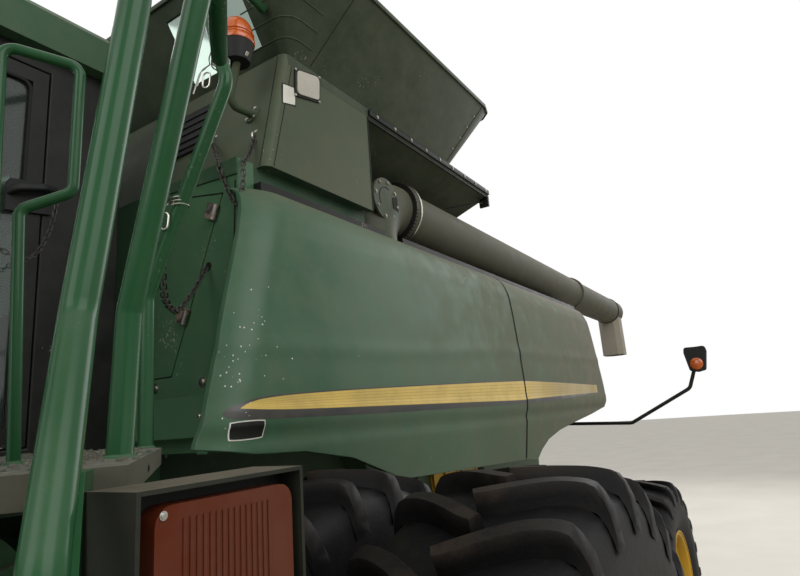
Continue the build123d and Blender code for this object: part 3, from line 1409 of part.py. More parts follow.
def rail(points, radius, corner):
    """Bent tube of the given radius along points measured from the front axle."""
    path = [(AXLE_F + x, y, z) for x, y, z in points]
    line = FilletPolyline(*path, radius=corner)
    ring = Plane(origin=line @ 0, z_dir=line % 0)
    return sweep(ring * Circle(radius), path=line)


DIAGONAL_RAIL = (  # x, y, z
    (1040, 2095, PLATFORM_TOP),
    (1040, 2110, 2320),
    (1040, 2283, 2840),
    (1010, 2290, 2980),
    (700, 1935, 3060),
)
RAIL_END_Z = 3850
RAIL_END_RISE = RAIL_END_Z + RAIL_R - TANK_TOP
CORNER_RAIL = (
    (680, 1625, PLATFORM_TOP),
    (680, 1616, 2480),
    (650, 1905, 3030),
    (640, 1735, 3560),
    (560, 1690, 3700),
    (230, 1480, RAIL_END_Z),
    (HOPPER_FRONT + EXTENSION_FLARE * RAIL_END_RISE / EXTENSION_RISE + 1, 1450, RAIL_END_Z),
)
HAND_LOOP = (
    (1100, 1880, PLATFORM_TOP),
    (1100, 1830, 2560),
    (1030, 1890, 2600),
    (1030, 1893, 2880),
    (1150, 1820, 2900),
    (1150, 1840, 2600),
    (1150, 1900, PLATFORM_TOP),
)
RAILS = (  # points, radius, corner
    (DIAGONAL_RAIL, RAIL_R, 45),
    (CORNER_RAIL, RAIL_R - 2, 60),
    (HAND_LOOP, 11, 25),
)
rails = Part() + [rail(*row) for row in RAILS]

# Ladder: two stringers and five treads, turning on an upright pivot at the deck's edge
with BuildPart() as ladder:
    lean = LADDER_RUN / (PLATFORM_TOP - LADDER_FOOT)
    for end in (-1, 1):
        for_plane = Plane(
            origin=LADDER_PLANE.from_local_coords((end * LADDER_WIDTH / 2 - 15, 0, 0)),
            x_dir=LADDER_PLANE.y_dir,
            z_dir=LADDER_PLANE.x_dir,
        )
        with BuildSketch(for_plane):
            with BuildLine():
                Polyline(
                    (0, 0),
                    (70, 0),
                    (70 + LADDER_RUN, LADDER_FOOT - PLATFORM_TOP),
                    (LADDER_RUN, LADDER_FOOT - PLATFORM_TOP),
                    close=True,
                )
            make_face()
        extrude(amount=30)
    for k in range(LADDER_STEPS):
        drop = (k + 1) * (PLATFORM_TOP - LADDER_FOOT) / (LADDER_STEPS + 0.3)
        with Locations(LADDER_PLANE):
            with Locations((0, 35 + lean * drop, -drop)):
                Box(LADDER_WIDTH - 20, 120, 30)
    with Locations(LADDER_PLANE):
        with Locations((LADDER_PIVOT[0], LADDER_PIVOT[1], LADDER_BARREL_TOP - PLATFORM_TOP)):
            Cylinder(20, LADDER_BARREL, align=(Align.CENTER, Align.CENTER, Align.MAX))
            Box(
                LADDER_PIVOT[0] - LADDER_WIDTH / 2,
                20,
                LADDER_BARREL,
                align=(Align.MAX, Align.CENTER, Align.MAX),
            )
            Cylinder(
                LADDER_PIN_R + RUNNING,
                LADDER_BARREL,
                align=(Align.CENTER, Align.CENTER, Align.MAX),
                mode=Mode.SUBTRACT,
            )
HANDRAILS = (  # x, y, z of the left rail, then of the one beside the pivot
    ((1277, 2387, 1600), (1335, 2468, 1720), (1330, 2459, 2007), (1243, 2332, 2260), (1195, 2349, 2707), (1190, 2352, 3000)),
    ((1695, 2077, 1600), (1750, 2155, 1720), (1745, 2147, 2007), (1662, 2030, 2260), (1655, 2040, 2707), (1655, 2040, 3000)),
)
ladder_rails = [rail(points, RAIL_R, 60) for points in HANDRAILS]
write(ladder.part + ladder_rails, "ladder")

# Unloading auger: elbow over the tilted pivot, long tube and spout
TUBE_END = -AUGER_REACH + 20
ELBOW_END = AUGER_PIVOT_X - AUGER_BEND
AUGER_COLLARS = (  # x, extra radius, length
    (ELBOW_END, 28, 40),
    (-4500, 16, 45),
)
ELBOW_PLATE_R = 118
ELBOW_PLATE_THICK = 16
SPOUT_HALF_Y = 130
SPOUT_CORNER = 60
with BuildPart() as unloading_auger:
    with BuildSketch(AUGER_PLANE.offset(-AUGER_BEND)):
        Circle(AUGER_R)
    revolve(
        axis=Axis(
            AUGER_PLANE.from_local_coords((AUGER_BEND, 0, -AUGER_BEND)),
            AUGER_PLANE.y_dir,
        ),
        revolution_arc=90,
    )
    with BuildSketch(Plane.YZ.offset(AXLE_F + TUBE_END)):
        with Locations((AUGER_Y, AUGER_Z)):
            Circle(AUGER_R)
    extrude(amount=ELBOW_END - TUBE_END)
    for station, extra, length in AUGER_COLLARS:
        with BuildSketch(Plane.YZ.offset(AXLE_F + station - length)):
            with Locations((AUGER_Y, AUGER_Z)):
                Circle(AUGER_R + extra)
        extrude(amount=length)
    with BuildSketch(Plane.XZ.offset(-AUGER_Y - AUGER_R - 2)):
        with Locations((AXLE_F + AUGER_PIVOT_X + 7, AUGER_Z - 35)):
            Circle(ELBOW_PLATE_R)
    extrude(amount=ELBOW_PLATE_THICK)
    spout_mid = AXLE_F - AUGER_REACH + SPOUT_WIDTH / 2
    with BuildSketch(Plane.XY.offset(AUGER_Z)) as spout_plan:
        with Locations((spout_mid, AUGER_Y)):
            Rectangle(SPOUT_WIDTH, 2 * SPOUT_HALF_Y)
        chamfer(spout_plan.vertices(), length=SPOUT_CORNER)
    extrude(amount=-AUGER_R - SPOUT_DROP)
    with BuildSketch(Plane.XY.offset(AUGER_Z - AUGER_R - SPOUT_DROP)) as spout_bore:
        with Locations((spout_mid, AUGER_Y)):
            Rectangle(SPOUT_WIDTH - 16, 2 * SPOUT_HALF_Y - 16)
        chamfer(spout_bore.vertices(), length=SPOUT_CORNER)
    extrude(amount=SPOUT_DROP, mode=Mode.SUBTRACT)
write(unloading_auger.part, "unloading_auger")

# Warning lamps on bent arms at both rear corners
WARNING_ARM = (  # x, y, z
    (-4200, HOOD_HALF + 7, 1940),
    (-4200, 1806, 1897),
    (-4200, 2345, 2173),
    (-4200, 2431, 2396),
)
with BuildPart() as warning_arms:
    for _, s in SIDES:
        path = [(AXLE_F + x, s * y, z) for x, y, z in WARNING_ARM]
        with BuildLine() as arm_line:
            FilletPolyline(*path, radius=70)
        with BuildSketch(Plane(origin=arm_line.line @ 0, z_dir=arm_line.line % 0)):
            Circle(16)
        sweep()
        with Locations((AXLE_F - 4200, s * HOOD_HALF, 1940)):
            Box(120, 14, 120, align=(Align.CENTER, Align.MIN if s > 0 else Align.MAX, Align.CENTER))
        with Locations((AXLE_F - 4200, s * 2440, 2480)):
            Box(90, 170, 190)
write(warning_arms.part, "warning_arms")

# Marker lamps: amber lenses in folded guards beside the platform and on the right
GUARD_X = 1137
GUARD_Y = 2425
GUARD_WIDTH = 232
GUARD_HIGH = 2063
GUARD_LOW = 1890
GUARD_WALL = 5
with BuildPart() as marker_guards:
    for _, s in SIDES:
        with Locations((AXLE_F + GUARD_X, s * GUARD_Y, (GUARD_HIGH + GUARD_LOW) / 2)):
            Box(GUARD_WIDTH, 90, GUARD_HIGH - GUARD_LOW)
            with Locations((0, s * GUARD_WALL, 0)):
                Box(
                    GUARD_WIDTH - 2 * GUARD_WALL,
                    90,
                    GUARD_HIGH - GUARD_LOW - 2 * GUARD_WALL,
                    mode=Mode.SUBTRACT,
                )
    with Locations((AXLE_F + GUARD_X - 40, GUARD_Y - 45, PLATFORM_TOP - PLATFORM_THICK)):
        Box(80, 250, 40, align=(Align.CENTER, Align.MAX, Align.MAX))
    with Locations((AXLE_F + GUARD_X, -(GUARD_Y - 45), SUBFRAME_LOW + 30)):
        Box(
            50,
            GUARD_Y - 45 - SUBFRAME_Y - 45,
            50,
            align=(Align.CENTER, Align.MIN, Align.CENTER),
        )
write(platform.part + rails + marker_guards.part, "platform")

with BuildPart() as amber_lamps:
    for _, s in SIDES:
        with Locations((AXLE_F + GUARD_X, s * (GUARD_Y - 45 + GUARD_WALL), (GUARD_HIGH + GUARD_LOW) / 2 - 8)):
            Box(
                GUARD_WIDTH - 40,
                50,
                GUARD_HIGH - GUARD_LOW - 36,
                align=(Align.CENTER, Align.MIN if s > 0 else Align.MAX, Align.CENTER),
            )
    with Locations((AXLE_F + BEACON[0], BEACON[1], BEACON[2])):
        Cylinder(BEACON_R, 97, align=(Align.CENTER, Align.CENTER, Align.MIN))
        fillet(amber_lamps.faces().filter_by(GeomType.CYLINDER).edges().sort_by(Axis.Z)[-1], radius=BEACON_R - 12)
write(amber_lamps.part, "amber_lamps")

# Work lamps: a row under the roof's front edge and one in the left cover box
ROOF_LAMP_X = 2140
ROOF_LAMPS = (-760, -600, -440, 440, 600, 760)
with BuildPart() as work_lamps:
    for y in ROOF_LAMPS:
        with Locations((AXLE_F + ROOF_LAMP_X, y, CAB_ROOF_Z - SEAT_GAP)):
            Box(90, 120, 90, align=(Align.CENTER, Align.CENTER, Align.MAX))
    for _, s in SIDES:
        with Locations((AXLE_F - 200, s * (TANK_HALF + SEAT_GAP), TANK_TOP - 120)):
            Box(150, 14, 90, align=(Align.CENTER, Align.MIN if s > 0 else Align.MAX, Align.CENTER))
write(work_lamps.part, "work_lamps")

# Mirrors: arms from the roof's front corners with upright heads
MIRROR_X = 2030
MIRROR_Y = 1500
with BuildPart() as mirrors:
    for _, s in SIDES:
        path = [
            (AXLE_F + MIRROR_X, s * (CAB_HALF + 55), CAB_ROOF_Z + 75),
            (AXLE_F + MIRROR_X, s * MIRROR_Y, CAB_ROOF_Z + 75),
            (AXLE_F + MIRROR_X, s * MIRROR_Y, CAB_ROOF_Z - 300),
        ]
        with BuildLine() as mirror_line:
            FilletPolyline(*path, radius=80)
        with BuildSketch(Plane(origin=mirror_line.line @ 0, z_dir=mirror_line.line % 0)):
            Circle(15)
        sweep()
        with Locations((AXLE_F + MIRROR_X, s * MIRROR_Y, CAB_ROOF_Z - 450)):
            Box(60, 240, 420)
write(cab_roof.part + mirrors.part, "cab_roof")
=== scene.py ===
"""Look of a rotary combine harvester without a header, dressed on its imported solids.

Tables are in millimetres measured from the front axle: x forward, y to the
machine's left and z up from the ground. Meshes are in metres in the shared frame.
"""

from __future__ import annotations

import json
import logging
import math
from dataclasses import dataclass, field
from enum import Enum
from functools import partial
from typing import Callable, Sequence

import bmesh
import bpy
import numpy as np
from mathutils import Matrix

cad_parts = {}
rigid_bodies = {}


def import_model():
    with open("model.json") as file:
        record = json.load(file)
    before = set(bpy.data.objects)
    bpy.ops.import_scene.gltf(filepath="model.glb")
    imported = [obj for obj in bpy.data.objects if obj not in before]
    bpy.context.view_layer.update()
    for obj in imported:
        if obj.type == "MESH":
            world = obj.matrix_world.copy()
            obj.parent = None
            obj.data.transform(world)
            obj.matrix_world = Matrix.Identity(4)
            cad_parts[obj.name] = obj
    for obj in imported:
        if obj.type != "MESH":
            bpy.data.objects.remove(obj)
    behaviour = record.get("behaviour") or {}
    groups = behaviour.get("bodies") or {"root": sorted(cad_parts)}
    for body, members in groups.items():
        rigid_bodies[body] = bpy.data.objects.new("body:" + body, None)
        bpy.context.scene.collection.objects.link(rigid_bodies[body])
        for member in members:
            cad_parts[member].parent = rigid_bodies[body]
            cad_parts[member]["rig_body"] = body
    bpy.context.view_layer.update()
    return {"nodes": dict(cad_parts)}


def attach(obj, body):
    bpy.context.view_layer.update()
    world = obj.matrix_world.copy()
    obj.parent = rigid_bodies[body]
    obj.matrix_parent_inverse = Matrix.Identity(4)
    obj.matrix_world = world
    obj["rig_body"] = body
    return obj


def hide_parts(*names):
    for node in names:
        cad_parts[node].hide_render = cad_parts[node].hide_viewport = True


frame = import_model()

LOG = logging.getLogger("harvester")
AXLE = 1755.0  # station of the front axle in the shared frame
AHEAD, LEFT, UP = (1, 0, 0), (0, 1, 0), (0, 0, 1)
SIDES = (("left", 1.0), ("right", -1.0))
ROOF_LAMPS = (-760, -600, -440, 440, 600, 760)  # y of the lamps under the cab roof's edge
Points = np.ndarray
Faces = np.ndarray
Socket = bpy.types.NodeSocket
Adder = Callable[..., Socket]
RGBA = {"output": 2, "data_type": "RGBA"}  # settings of a colour mix


def row(points: Sequence) -> Points:
    """Shared-frame metres of tabled points: x gains the axle's station, then all is divided by 1000."""
    return (np.asarray(points, float) + (AXLE, 0.0, 0.0)) / 1000.0


def linear(code: str) -> tuple[float, float, float, float]:
    """Linear RGBA of an sRGB hex code: c / 12.92 up to 0.04045, else ((c + 0.055) / 1.055) to the 2.4."""
    c = np.array([int(code[k : k + 2], 16) for k in (0, 2, 4)]) / 255.0
    return (*np.where(c <= 0.04045, c / 12.92, ((c + 0.055) / 1.055) ** 2.4).tolist(), 1.0)


def unit(vectors: np.ndarray) -> np.ndarray:
    """Vectors divided by their lengths along the last axis."""
    return vectors / np.maximum(np.linalg.norm(vectors, axis=-1, keepdims=True), 1e-12)


def through(knots: Sequence, at: np.ndarray) -> np.ndarray:
    """Smooth curve through a table.

    Formula: piecewise cubic between knots; each knot's slope is the harmonic mean
    of its two chords where they agree in sign and zero where they don't, so the
    curve never overshoots.

    Args:
        knots: rows of (place, value), places rising.
        at: places to read.

    Returns:
        The values there, held flat outside the table.
    """
    t, v = np.asarray(knots, float).T
    chord = np.diff(v) / np.diff(t)
    slope = np.concatenate([chord[:1], np.zeros(len(t) - 2), chord[-1:]])
    both = chord[:-1] * chord[1:] > 0
    slope[1:-1][both] = 2 * chord[:-1][both] * chord[1:][both] / (chord[:-1] + chord[1:])[both]
    at = np.clip(at, t[0], t[-1])
    k = np.clip(np.searchsorted(t, at, side="right") - 1, 0, len(t) - 2)
    span = t[k + 1] - t[k]
    u = (at - t[k]) / span
    return (
        v[k] * (1 + 2 * u) * (1 - u) ** 2
        + span * slope[k] * u * (1 - u) ** 2
        + v[k + 1] * u * u * (3 - 2 * u)
        + span * slope[k + 1] * u * u * (u - 1)
    )


def along(polyline: Sequence, count: int) -> np.ndarray:
    """Points spread evenly by length on a polyline: each coordinate is linear in the summed chord lengths."""
    line = np.asarray(polyline, float)
    run = np.concatenate([[0.0], np.cumsum(np.linalg.norm(np.diff(line, axis=0), axis=1))])
    at = np.linspace(0.0, run[-1], count)
    return np.stack([np.interp(at, run, line[:, k]) for k in range(line.shape[1])], axis=1)


def bent(points: Sequence, radius: float, steps: int = 7) -> np.ndarray:
    """Polyline with rounded corners.

    Formula: a corner of turn a is cut back by radius * tan(a / 2) on both runs and
    bridged by a quadratic curve whose middle control point is the corner itself.

    Args:
        points: corners in order.
        radius: radius of the bends, in the points' unit.
        steps: points on each bend.

    Returns:
        The path's points.
    """
    line = np.asarray(points, float)
    before, after = unit(line[:-2] - line[1:-1]), unit(line[2:] - line[1:-1])
    turn = np.pi - np.arccos(np.clip((before * after).sum(-1), -1, 1))
    room = 0.45 * np.minimum(
        np.linalg.norm(line[:-2] - line[1:-1], axis=1), np.linalg.norm(line[2:] - line[1:-1], axis=1)
    )
    cut = np.minimum(radius * np.tan(turn / 2), room)[:, None]
    first, last = line[1:-1] + before * cut, line[1:-1] + after * cut
    t = np.linspace(0, 1, steps)[None, :, None]
    arcs = (1 - t) ** 2 * first[:, None] + 2 * t * (1 - t) * line[1:-1, None] + t * t * last[:, None]
    return np.concatenate([line[:1], arcs.reshape(-1, line.shape[1]), line[-1:]])


def quads(rows: int, columns: int, round_rows: bool = False, round_columns: bool = False) -> Faces:
    """Quads of a grid of points: each joins a point with its neighbours, wrapping where the grid is round."""
    i, j = np.meshgrid(
        np.arange(rows if round_rows else rows - 1),
        np.arange(columns if round_columns else columns - 1),
        indexing="ij",
    )
    i, j = i.ravel(), j.ravel()
    p, q = (i + 1) % rows, (j + 1) % columns
    return np.stack([i * columns + j, p * columns + j, p * columns + q, i * columns + q], axis=1)


def carried(path: np.ndarray, up: Sequence = (0.0, 0.0, 1.0)) -> tuple[np.ndarray, np.ndarray, np.ndarray]:
    """Frames along a path.

    Formula: the tangent is the mean of the two chord directions; the side is the
    first tangent's cross product with up, then carried on by removing from it
    what points along each next tangent, which keeps the twist least.

    Args:
        path: points in order.
        up: direction that isn't along the path's start.

    Returns:
        Tangents, sides and tops, one of each for a point.
    """
    chord = unit(np.diff(path, axis=0))
    tangent = unit(np.concatenate([chord[:1], chord[:-1] + chord[1:], chord[-1:]]))
    side = np.cross(tangent[0], np.asarray(up, float))
    if np.linalg.norm(side) < 0.05:
        side = np.cross(tangent[0], (0.0, 1.0, 0.3))
    sides = [side / np.linalg.norm(side)]
    for step in tangent[1:]:
        kept = sides[-1] - step * (sides[-1] @ step)
        sides.append(kept / np.linalg.norm(kept))
    sides = np.array(sides)
    return tangent, sides, np.cross(sides, tangent)


@dataclass
class Shape:
    """Points and faces gathered for one piece, in metres.

    Each add method works out whole arrays and keeps every shell closed.
    """

    points: list[np.ndarray] = field(default_factory=list)
    faces: list[list[int]] = field(default_factory=list)
    marks: list[int] = field(default_factory=list)
    tags: list[np.ndarray] = field(default_factory=list)
    count: int = 0

    def add(self, points: Points, *groups: Faces, mark: int = 0, tag: np.ndarray | None = None) -> Shape:
        """Add points with groups of faces that number them from nought.

        Args:
            points: any array whose last axis is x, y, z.
            groups: arrays of faces, one row for a face.
            mark: number of the finish that these faces take.
            tag: one value for each point, read by a finish.

        Returns:
            The shape itself.
        """
        flat = np.asarray(points, float).reshape(-1, 3)
        for group in groups:
            self.faces += (np.asarray(group) + self.count).tolist()
            self.marks += [mark] * len(group)
        self.points.append(flat)
        self.tags.append(np.zeros(len(flat)) if tag is None else np.asarray(tag, float).ravel())
        self.count += len(flat)
        return self

    def sweep(self, path: Points, profile: np.ndarray, mark: int = 0, ring: bool = False, up: Sequence = UP) -> Shape:
        """Carry a closed profile along a path: point = path + side * profile x + top * profile y.

        Args:
            path: points in metres.
            profile: ring of (side, top) offsets, one for all stations or one for each.
            mark: number of the finish.
            ring: whether the path's end joins its start.
            up: direction that sets the profile's top at the start.

        Returns:
            The shape itself.
        """
        loop = np.concatenate([path, path[:1]]) if ring else path
        _, side, top = carried(loop, up)
        side, top = side[: len(path), None], top[: len(path), None]
        profile = np.broadcast_to(profile, (len(path), *np.shape(profile)[-2:]))
        grid = path[:, None] + side * profile[..., :1] + top * profile[..., 1:]
        n, m = grid.shape[:2]
        caps = [] if ring else [np.arange(m)[None], (np.arange(m) + (n - 1) * m)[None, ::-1]]
        return self.add(grid, quads(n, m, ring, True), *caps, mark=mark)

    def tube(
        self, path: Points, radius: float | np.ndarray, sides: int = 20, mark: int = 0, ring: bool = False
    ) -> Shape:
        """Round bar along a path: the profile is radius * (cos, sin) of evenly spread angles, in metres."""
        turn = np.linspace(0, 2 * np.pi, sides, endpoint=False)
        circle = np.stack([np.cos(turn), np.sin(turn)], axis=1)
        return self.sweep(path, circle * np.reshape(radius, (-1, 1, 1)), mark, ring)

    def lathe(
        self, profile: Sequence, centre: Sequence, axis: Sequence, sides: int, mark: int = 0, ring: bool = True
    ) -> Shape:
        """Turn a profile of (radius, along) round an axis: point = centre + along * axis + radius * turned side.

        Args:
            profile: rows of (radius, along) in metres.
            centre: point on the axis, in metres.
            axis: direction of the axis.
            sides: points round the axis.
            mark: number of the finish.
            ring: whether the profile's end joins its start.

        Returns:
            The shape itself.
        """
        axis = unit(np.asarray(axis, float))
        side = unit(np.cross(axis, (0.0, 0.0, 1.0) if abs(axis[2]) < 0.9 else (1.0, 0.0, 0.0)))
        other = np.cross(axis, side)
        turn = np.linspace(0, 2 * np.pi, sides, endpoint=False)[:, None]
        spoke = np.cos(turn) * side + np.sin(turn) * other
        r, h = np.asarray(profile, float).T
        grid = np.asarray(centre) + spoke[:, None] * r[None, :, None] + h[None, :, None] * axis
        return self.add(grid, quads(sides, len(r), True, ring), mark=mark)

    def prism(
        self, outline: np.ndarray, origin: Sequence, u: Sequence, v: Sequence, depth: float, mark: int = 0
    ) -> Shape:
        """Outline of (u, v) points on a plane, given a depth along u x v: both faces and the wall between."""
        u, v = unit(np.asarray(u, float)), unit(np.asarray(v, float))
        face = np.asarray(origin) + outline[:, :1] * u + outline[:, 1:] * v
        n = len(face)
        both = np.stack([face, face + depth * np.cross(u, v)])
        return self.add(both, quads(2, n, False, True), np.arange(n)[None, ::-1], (np.arange(n) + n)[None], mark=mark)

    def block(self, low: Sequence, high: Sequence, mark: int = 0) -> Shape:
        """Box between two tabled corners in millimetres, in any order."""
        a, b = np.sort([row(low), row(high)], axis=0)
        x, y, z = b - a
        return self.prism(np.array([(0, 0), (x, 0), (x, y), (0, y)]), a, AHEAD, LEFT, z, mark)

    def slab(self, grid: Points, inward: np.ndarray, mark: int = 0, tag: np.ndarray | None = None) -> Shape:
        """Closed skin: the grid, its copy moved by inward, and a wall round the rim."""
        n, m = grid.shape[:2]
        rim = np.concatenate(
            [
                np.arange(m),
                np.arange(1, n) * m + m - 1,
                (n - 1) * m + np.arange(m - 2, -1, -1),
                np.arange(n - 2, 0, -1) * m,
            ]
        )
        wall = np.stack([rim, np.roll(rim, -1), np.roll(rim, -1) + n * m, rim + n * m], axis=1)
        both = np.stack([grid, grid + inward])
        face = quads(n, m)
        tags = None if tag is None else np.stack([tag, tag])
        return self.add(both, face, face[:, ::-1] + n * m, wall, mark=mark, tag=tags)

    def scatter(
        self, pattern: Shape, origins: np.ndarray, along_x: np.ndarray, along_z: np.ndarray, mark: int = 0
    ) -> Shape:
        """Copies of a small shape: point = origin + x * first axis + y * cross axis + z * last axis.

        Args:
            pattern: shape made round the origin, its top along z.
            origins: place of each copy, in metres.
            along_x: each copy's x direction.
            along_z: each copy's z direction.
            mark: number of the finish.

        Returns:
            The shape itself.
        """
        local = np.concatenate(pattern.points)
        origins = np.asarray(origins, float).reshape(-1, 3)
        z = unit(np.broadcast_to(np.asarray(along_z, float), origins.shape))
        x = np.broadcast_to(np.asarray(along_x, float), origins.shape)
        x = unit(x - z * (x * z).sum(-1, keepdims=True))
        axes = np.stack([x, np.cross(z, x), z], axis=1)
        spots = origins[:, None] + np.einsum("pk,nkc->npc", local, axes)
        start = (np.arange(len(origins)) * len(local))[:, None, None]
        groups = []
        for size in np.unique([len(face) for face in pattern.faces]):
            group = np.array([face for face in pattern.faces if len(face) == size])
            groups.append((group[None] + start).reshape(-1, size))
        return self.add(spots, *groups, mark=mark)

    def turned(
        self, profile: Sequence, centre: Sequence, axis: Sequence, sides: int, mark: int = 0, ring: bool = True
    ) -> Shape:
        """Lathe of a profile and a centre tabled in millimetres."""
        return self.lathe(np.asarray(profile, float) / 1000, row(centre), axis, sides, mark, ring)


def rounded(width: float, height: float, radius: float, steps: int = 5) -> np.ndarray:
    """Rounded rectangle about the origin: four quarter circles of the radius at its corners."""
    turn = np.linspace(0, np.pi / 2, steps)
    arc = radius * np.stack([np.cos(turn), np.sin(turn)], axis=1)
    x, y = width / 2 - radius, height / 2 - radius
    quarter = [
        arc + (x, y),
        arc @ np.array([[0, 1], [-1, 0]]) + (-x, y),
        -arc + (-x, -y),
        arc @ np.array([[0, -1], [1, 0]]) + (x, -y),
    ]
    return np.concatenate(quarter)


def bolt_head(radius: float, height: float, sides: int = 6, washer: float = 1.5) -> Shape:
    """Bolt head on a washer, its seat at the origin: a lathed profile in metres, six-sided or round."""
    profile = [
        (0, -0.001), (washer * radius, -0.001), (washer * radius, 0.0015), (radius, 0.0015),
        (radius, 0.85 * height), (0.82 * radius, height), (0, height),
    ]
    return Shape().lathe(profile, (0, 0, 0), UP, sides, ring=False)


def ring_of(count: int, radius: float, start: float = 0.0) -> list[tuple[float, float]]:
    """Offsets (radius * cos, radius * sin) of evenly spread spots on a circle, the first at the angle start."""
    turn = start + np.arange(count) * 2 * np.pi / count
    return list(zip(radius * np.cos(turn), radius * np.sin(turn)))


def node(
    tree: bpy.types.NodeTree, kind: str, inputs: dict | None = None, output: int | str = 0, **settings: object
) -> Socket | None:
    """Add a shader node with its settings and links.

    Args:
        tree: tree that takes it.
        kind: node type without its ShaderNode prefix.
        inputs: sockets by name or number, each with a value, a hex colour or the output that feeds it.
        output: name or number of the output to give back.
        settings: properties of the node itself.

    Returns:
        That output, or None from a node that has no output.
    """
    made = tree.nodes.new("ShaderNode" + kind)
    for key, value in settings.items():
        setattr(made, key, value)
    for key, value in (inputs or {}).items():
        if isinstance(value, Socket):
            tree.links.new(value, made.inputs[key])
        else:
            made.inputs[key].default_value = linear(value) if isinstance(value, str) else value
    return made.outputs[output] if len(made.outputs) else None


@dataclass(frozen=True)
class Finish:
    """What a surface is made of; its material is made once and shared."""

    name: str

    def material(self) -> bpy.types.Material:
        """The finish's material, made the first time it is asked for."""
        found = bpy.data.materials.get(self.name)
        if found is None:
            found = bpy.data.materials.new(self.name)
            found.use_nodes = True
            found.node_tree.nodes.clear()
            add = partial(node, found.node_tree)
            add("OutputMaterial", {"Surface": add("BsdfPrincipled", self.wire(add))})
        return found

    def wire(self, add: Adder) -> dict:
        """Sockets of the finish's shader; add is node, with the material's tree given."""
        raise NotImplementedError


@dataclass(frozen=True)
class Paint(Finish):
    """Sprayed enamel on sheet steel: a satin film over faint dents, dulled by chaff dust.

    Dust lies on what faces up and hangs as a thin veil on the rest, thicker toward
    the machine's rear by the drift; it lifts the colour and kills the gloss in
    patches. Chips show the primer.
    """

    colour: str
    shade: str
    rough: float = 0.36
    dust: str = "8d8878"
    veil: float = 0.22
    settle: float = 0.55
    chips: float = 0.35
    bare: str = "b4afa0"
    dent_mm: float = 420.0
    drift: float = 0.0
    gloss: float = 0.16

    def wire(self, add: Adder) -> dict:
        """Two tones of enamel, then veil, drift and settled dust, chips, and dents under a fine grain.

        Args:
            add: node, with the material's tree given.

        Returns:
            The shader's sockets, each with a value or the output that feeds it.
        """
        spot = add("TexCoord", output="Object")
        patch = add("TexNoise", {"Vector": spot, "Scale": 1000 / 650, "Detail": 5.0, "Roughness": 0.6})
        patch = add("MapRange", {"Value": patch, "From Min": 0.36, "From Max": 0.64})
        tone = add("Mix", {0: patch, 6: self.colour, 7: self.shade}, **RGBA)
        cloud = add("TexNoise", {"Vector": spot, "Scale": 1000 / 140, "Detail": 9.0, "Roughness": 0.72})
        veil = add("MapRange", {"Value": cloud, "From Min": 0.36, "From Max": 0.70, "To Max": self.veil})
        facing = add("SeparateXYZ", {0: add("NewGeometry", output="Normal")}, "Z")
        flat = add("MapRange", {"Value": facing, "From Min": 0.3, "From Max": 0.95, "To Max": self.settle})
        heap = add("MapRange", {"Value": cloud, "From Min": 0.30, "From Max": 0.60, "To Min": 0.45})
        lying = add("Math", {0: flat, 1: heap}, operation="MULTIPLY")
        back = add("SeparateXYZ", {0: spot}, "X")
        back = add("MapRange", {"Value": back, "From Min": 1.9, "From Max": -2.2, "To Max": self.drift})
        broken = add("MapRange", {"Value": cloud, "From Min": 0.25, "From Max": 0.65, "To Min": 0.6})
        blown = add("Math", {0: back, 1: broken}, operation="MULTIPLY")
        both = add("Math", {0: veil, 1: blown}, operation="ADD")
        dusty = add("Math", {0: both, 1: lying}, operation="ADD", use_clamp=True)
        coated = add("Mix", {0: dusty, 6: tone, 7: self.dust}, **RGBA)
        speck = add("TexNoise", {"Vector": spot, "Scale": 1000 / 11})
        where = add("TexNoise", {"Vector": spot, "Scale": 1000 / 230})
        rare = add("Math", {0: speck, 1: where}, operation="MULTIPLY")
        chip = add("MapRange", {"Value": rare, "From Min": 0.455, "From Max": 0.47, "To Max": self.chips})
        dent = add("TexNoise", {"Vector": spot, "Scale": 1000 / self.dent_mm, "Detail": 1.0})
        low = add("Bump", {"Strength": 0.35, "Distance": 0.006, "Height": dent})
        grain = add("TexNoise", {"Vector": spot, "Scale": 1000 / 7})
        return {
            "Base Color": add("Mix", {0: chip, 6: coated, 7: self.bare}, **RGBA),
            "Roughness": add("MapRange", {"Value": dusty, "From Max": 0.5, "To Min": self.rough, "To Max": 0.72}),
            "Normal": add("Bump", {"Strength": 0.05, "Distance": 0.001, "Height": grain, "Normal": low}),
            "IOR": 1.5,
            "Specular IOR Level": self.gloss,
        }


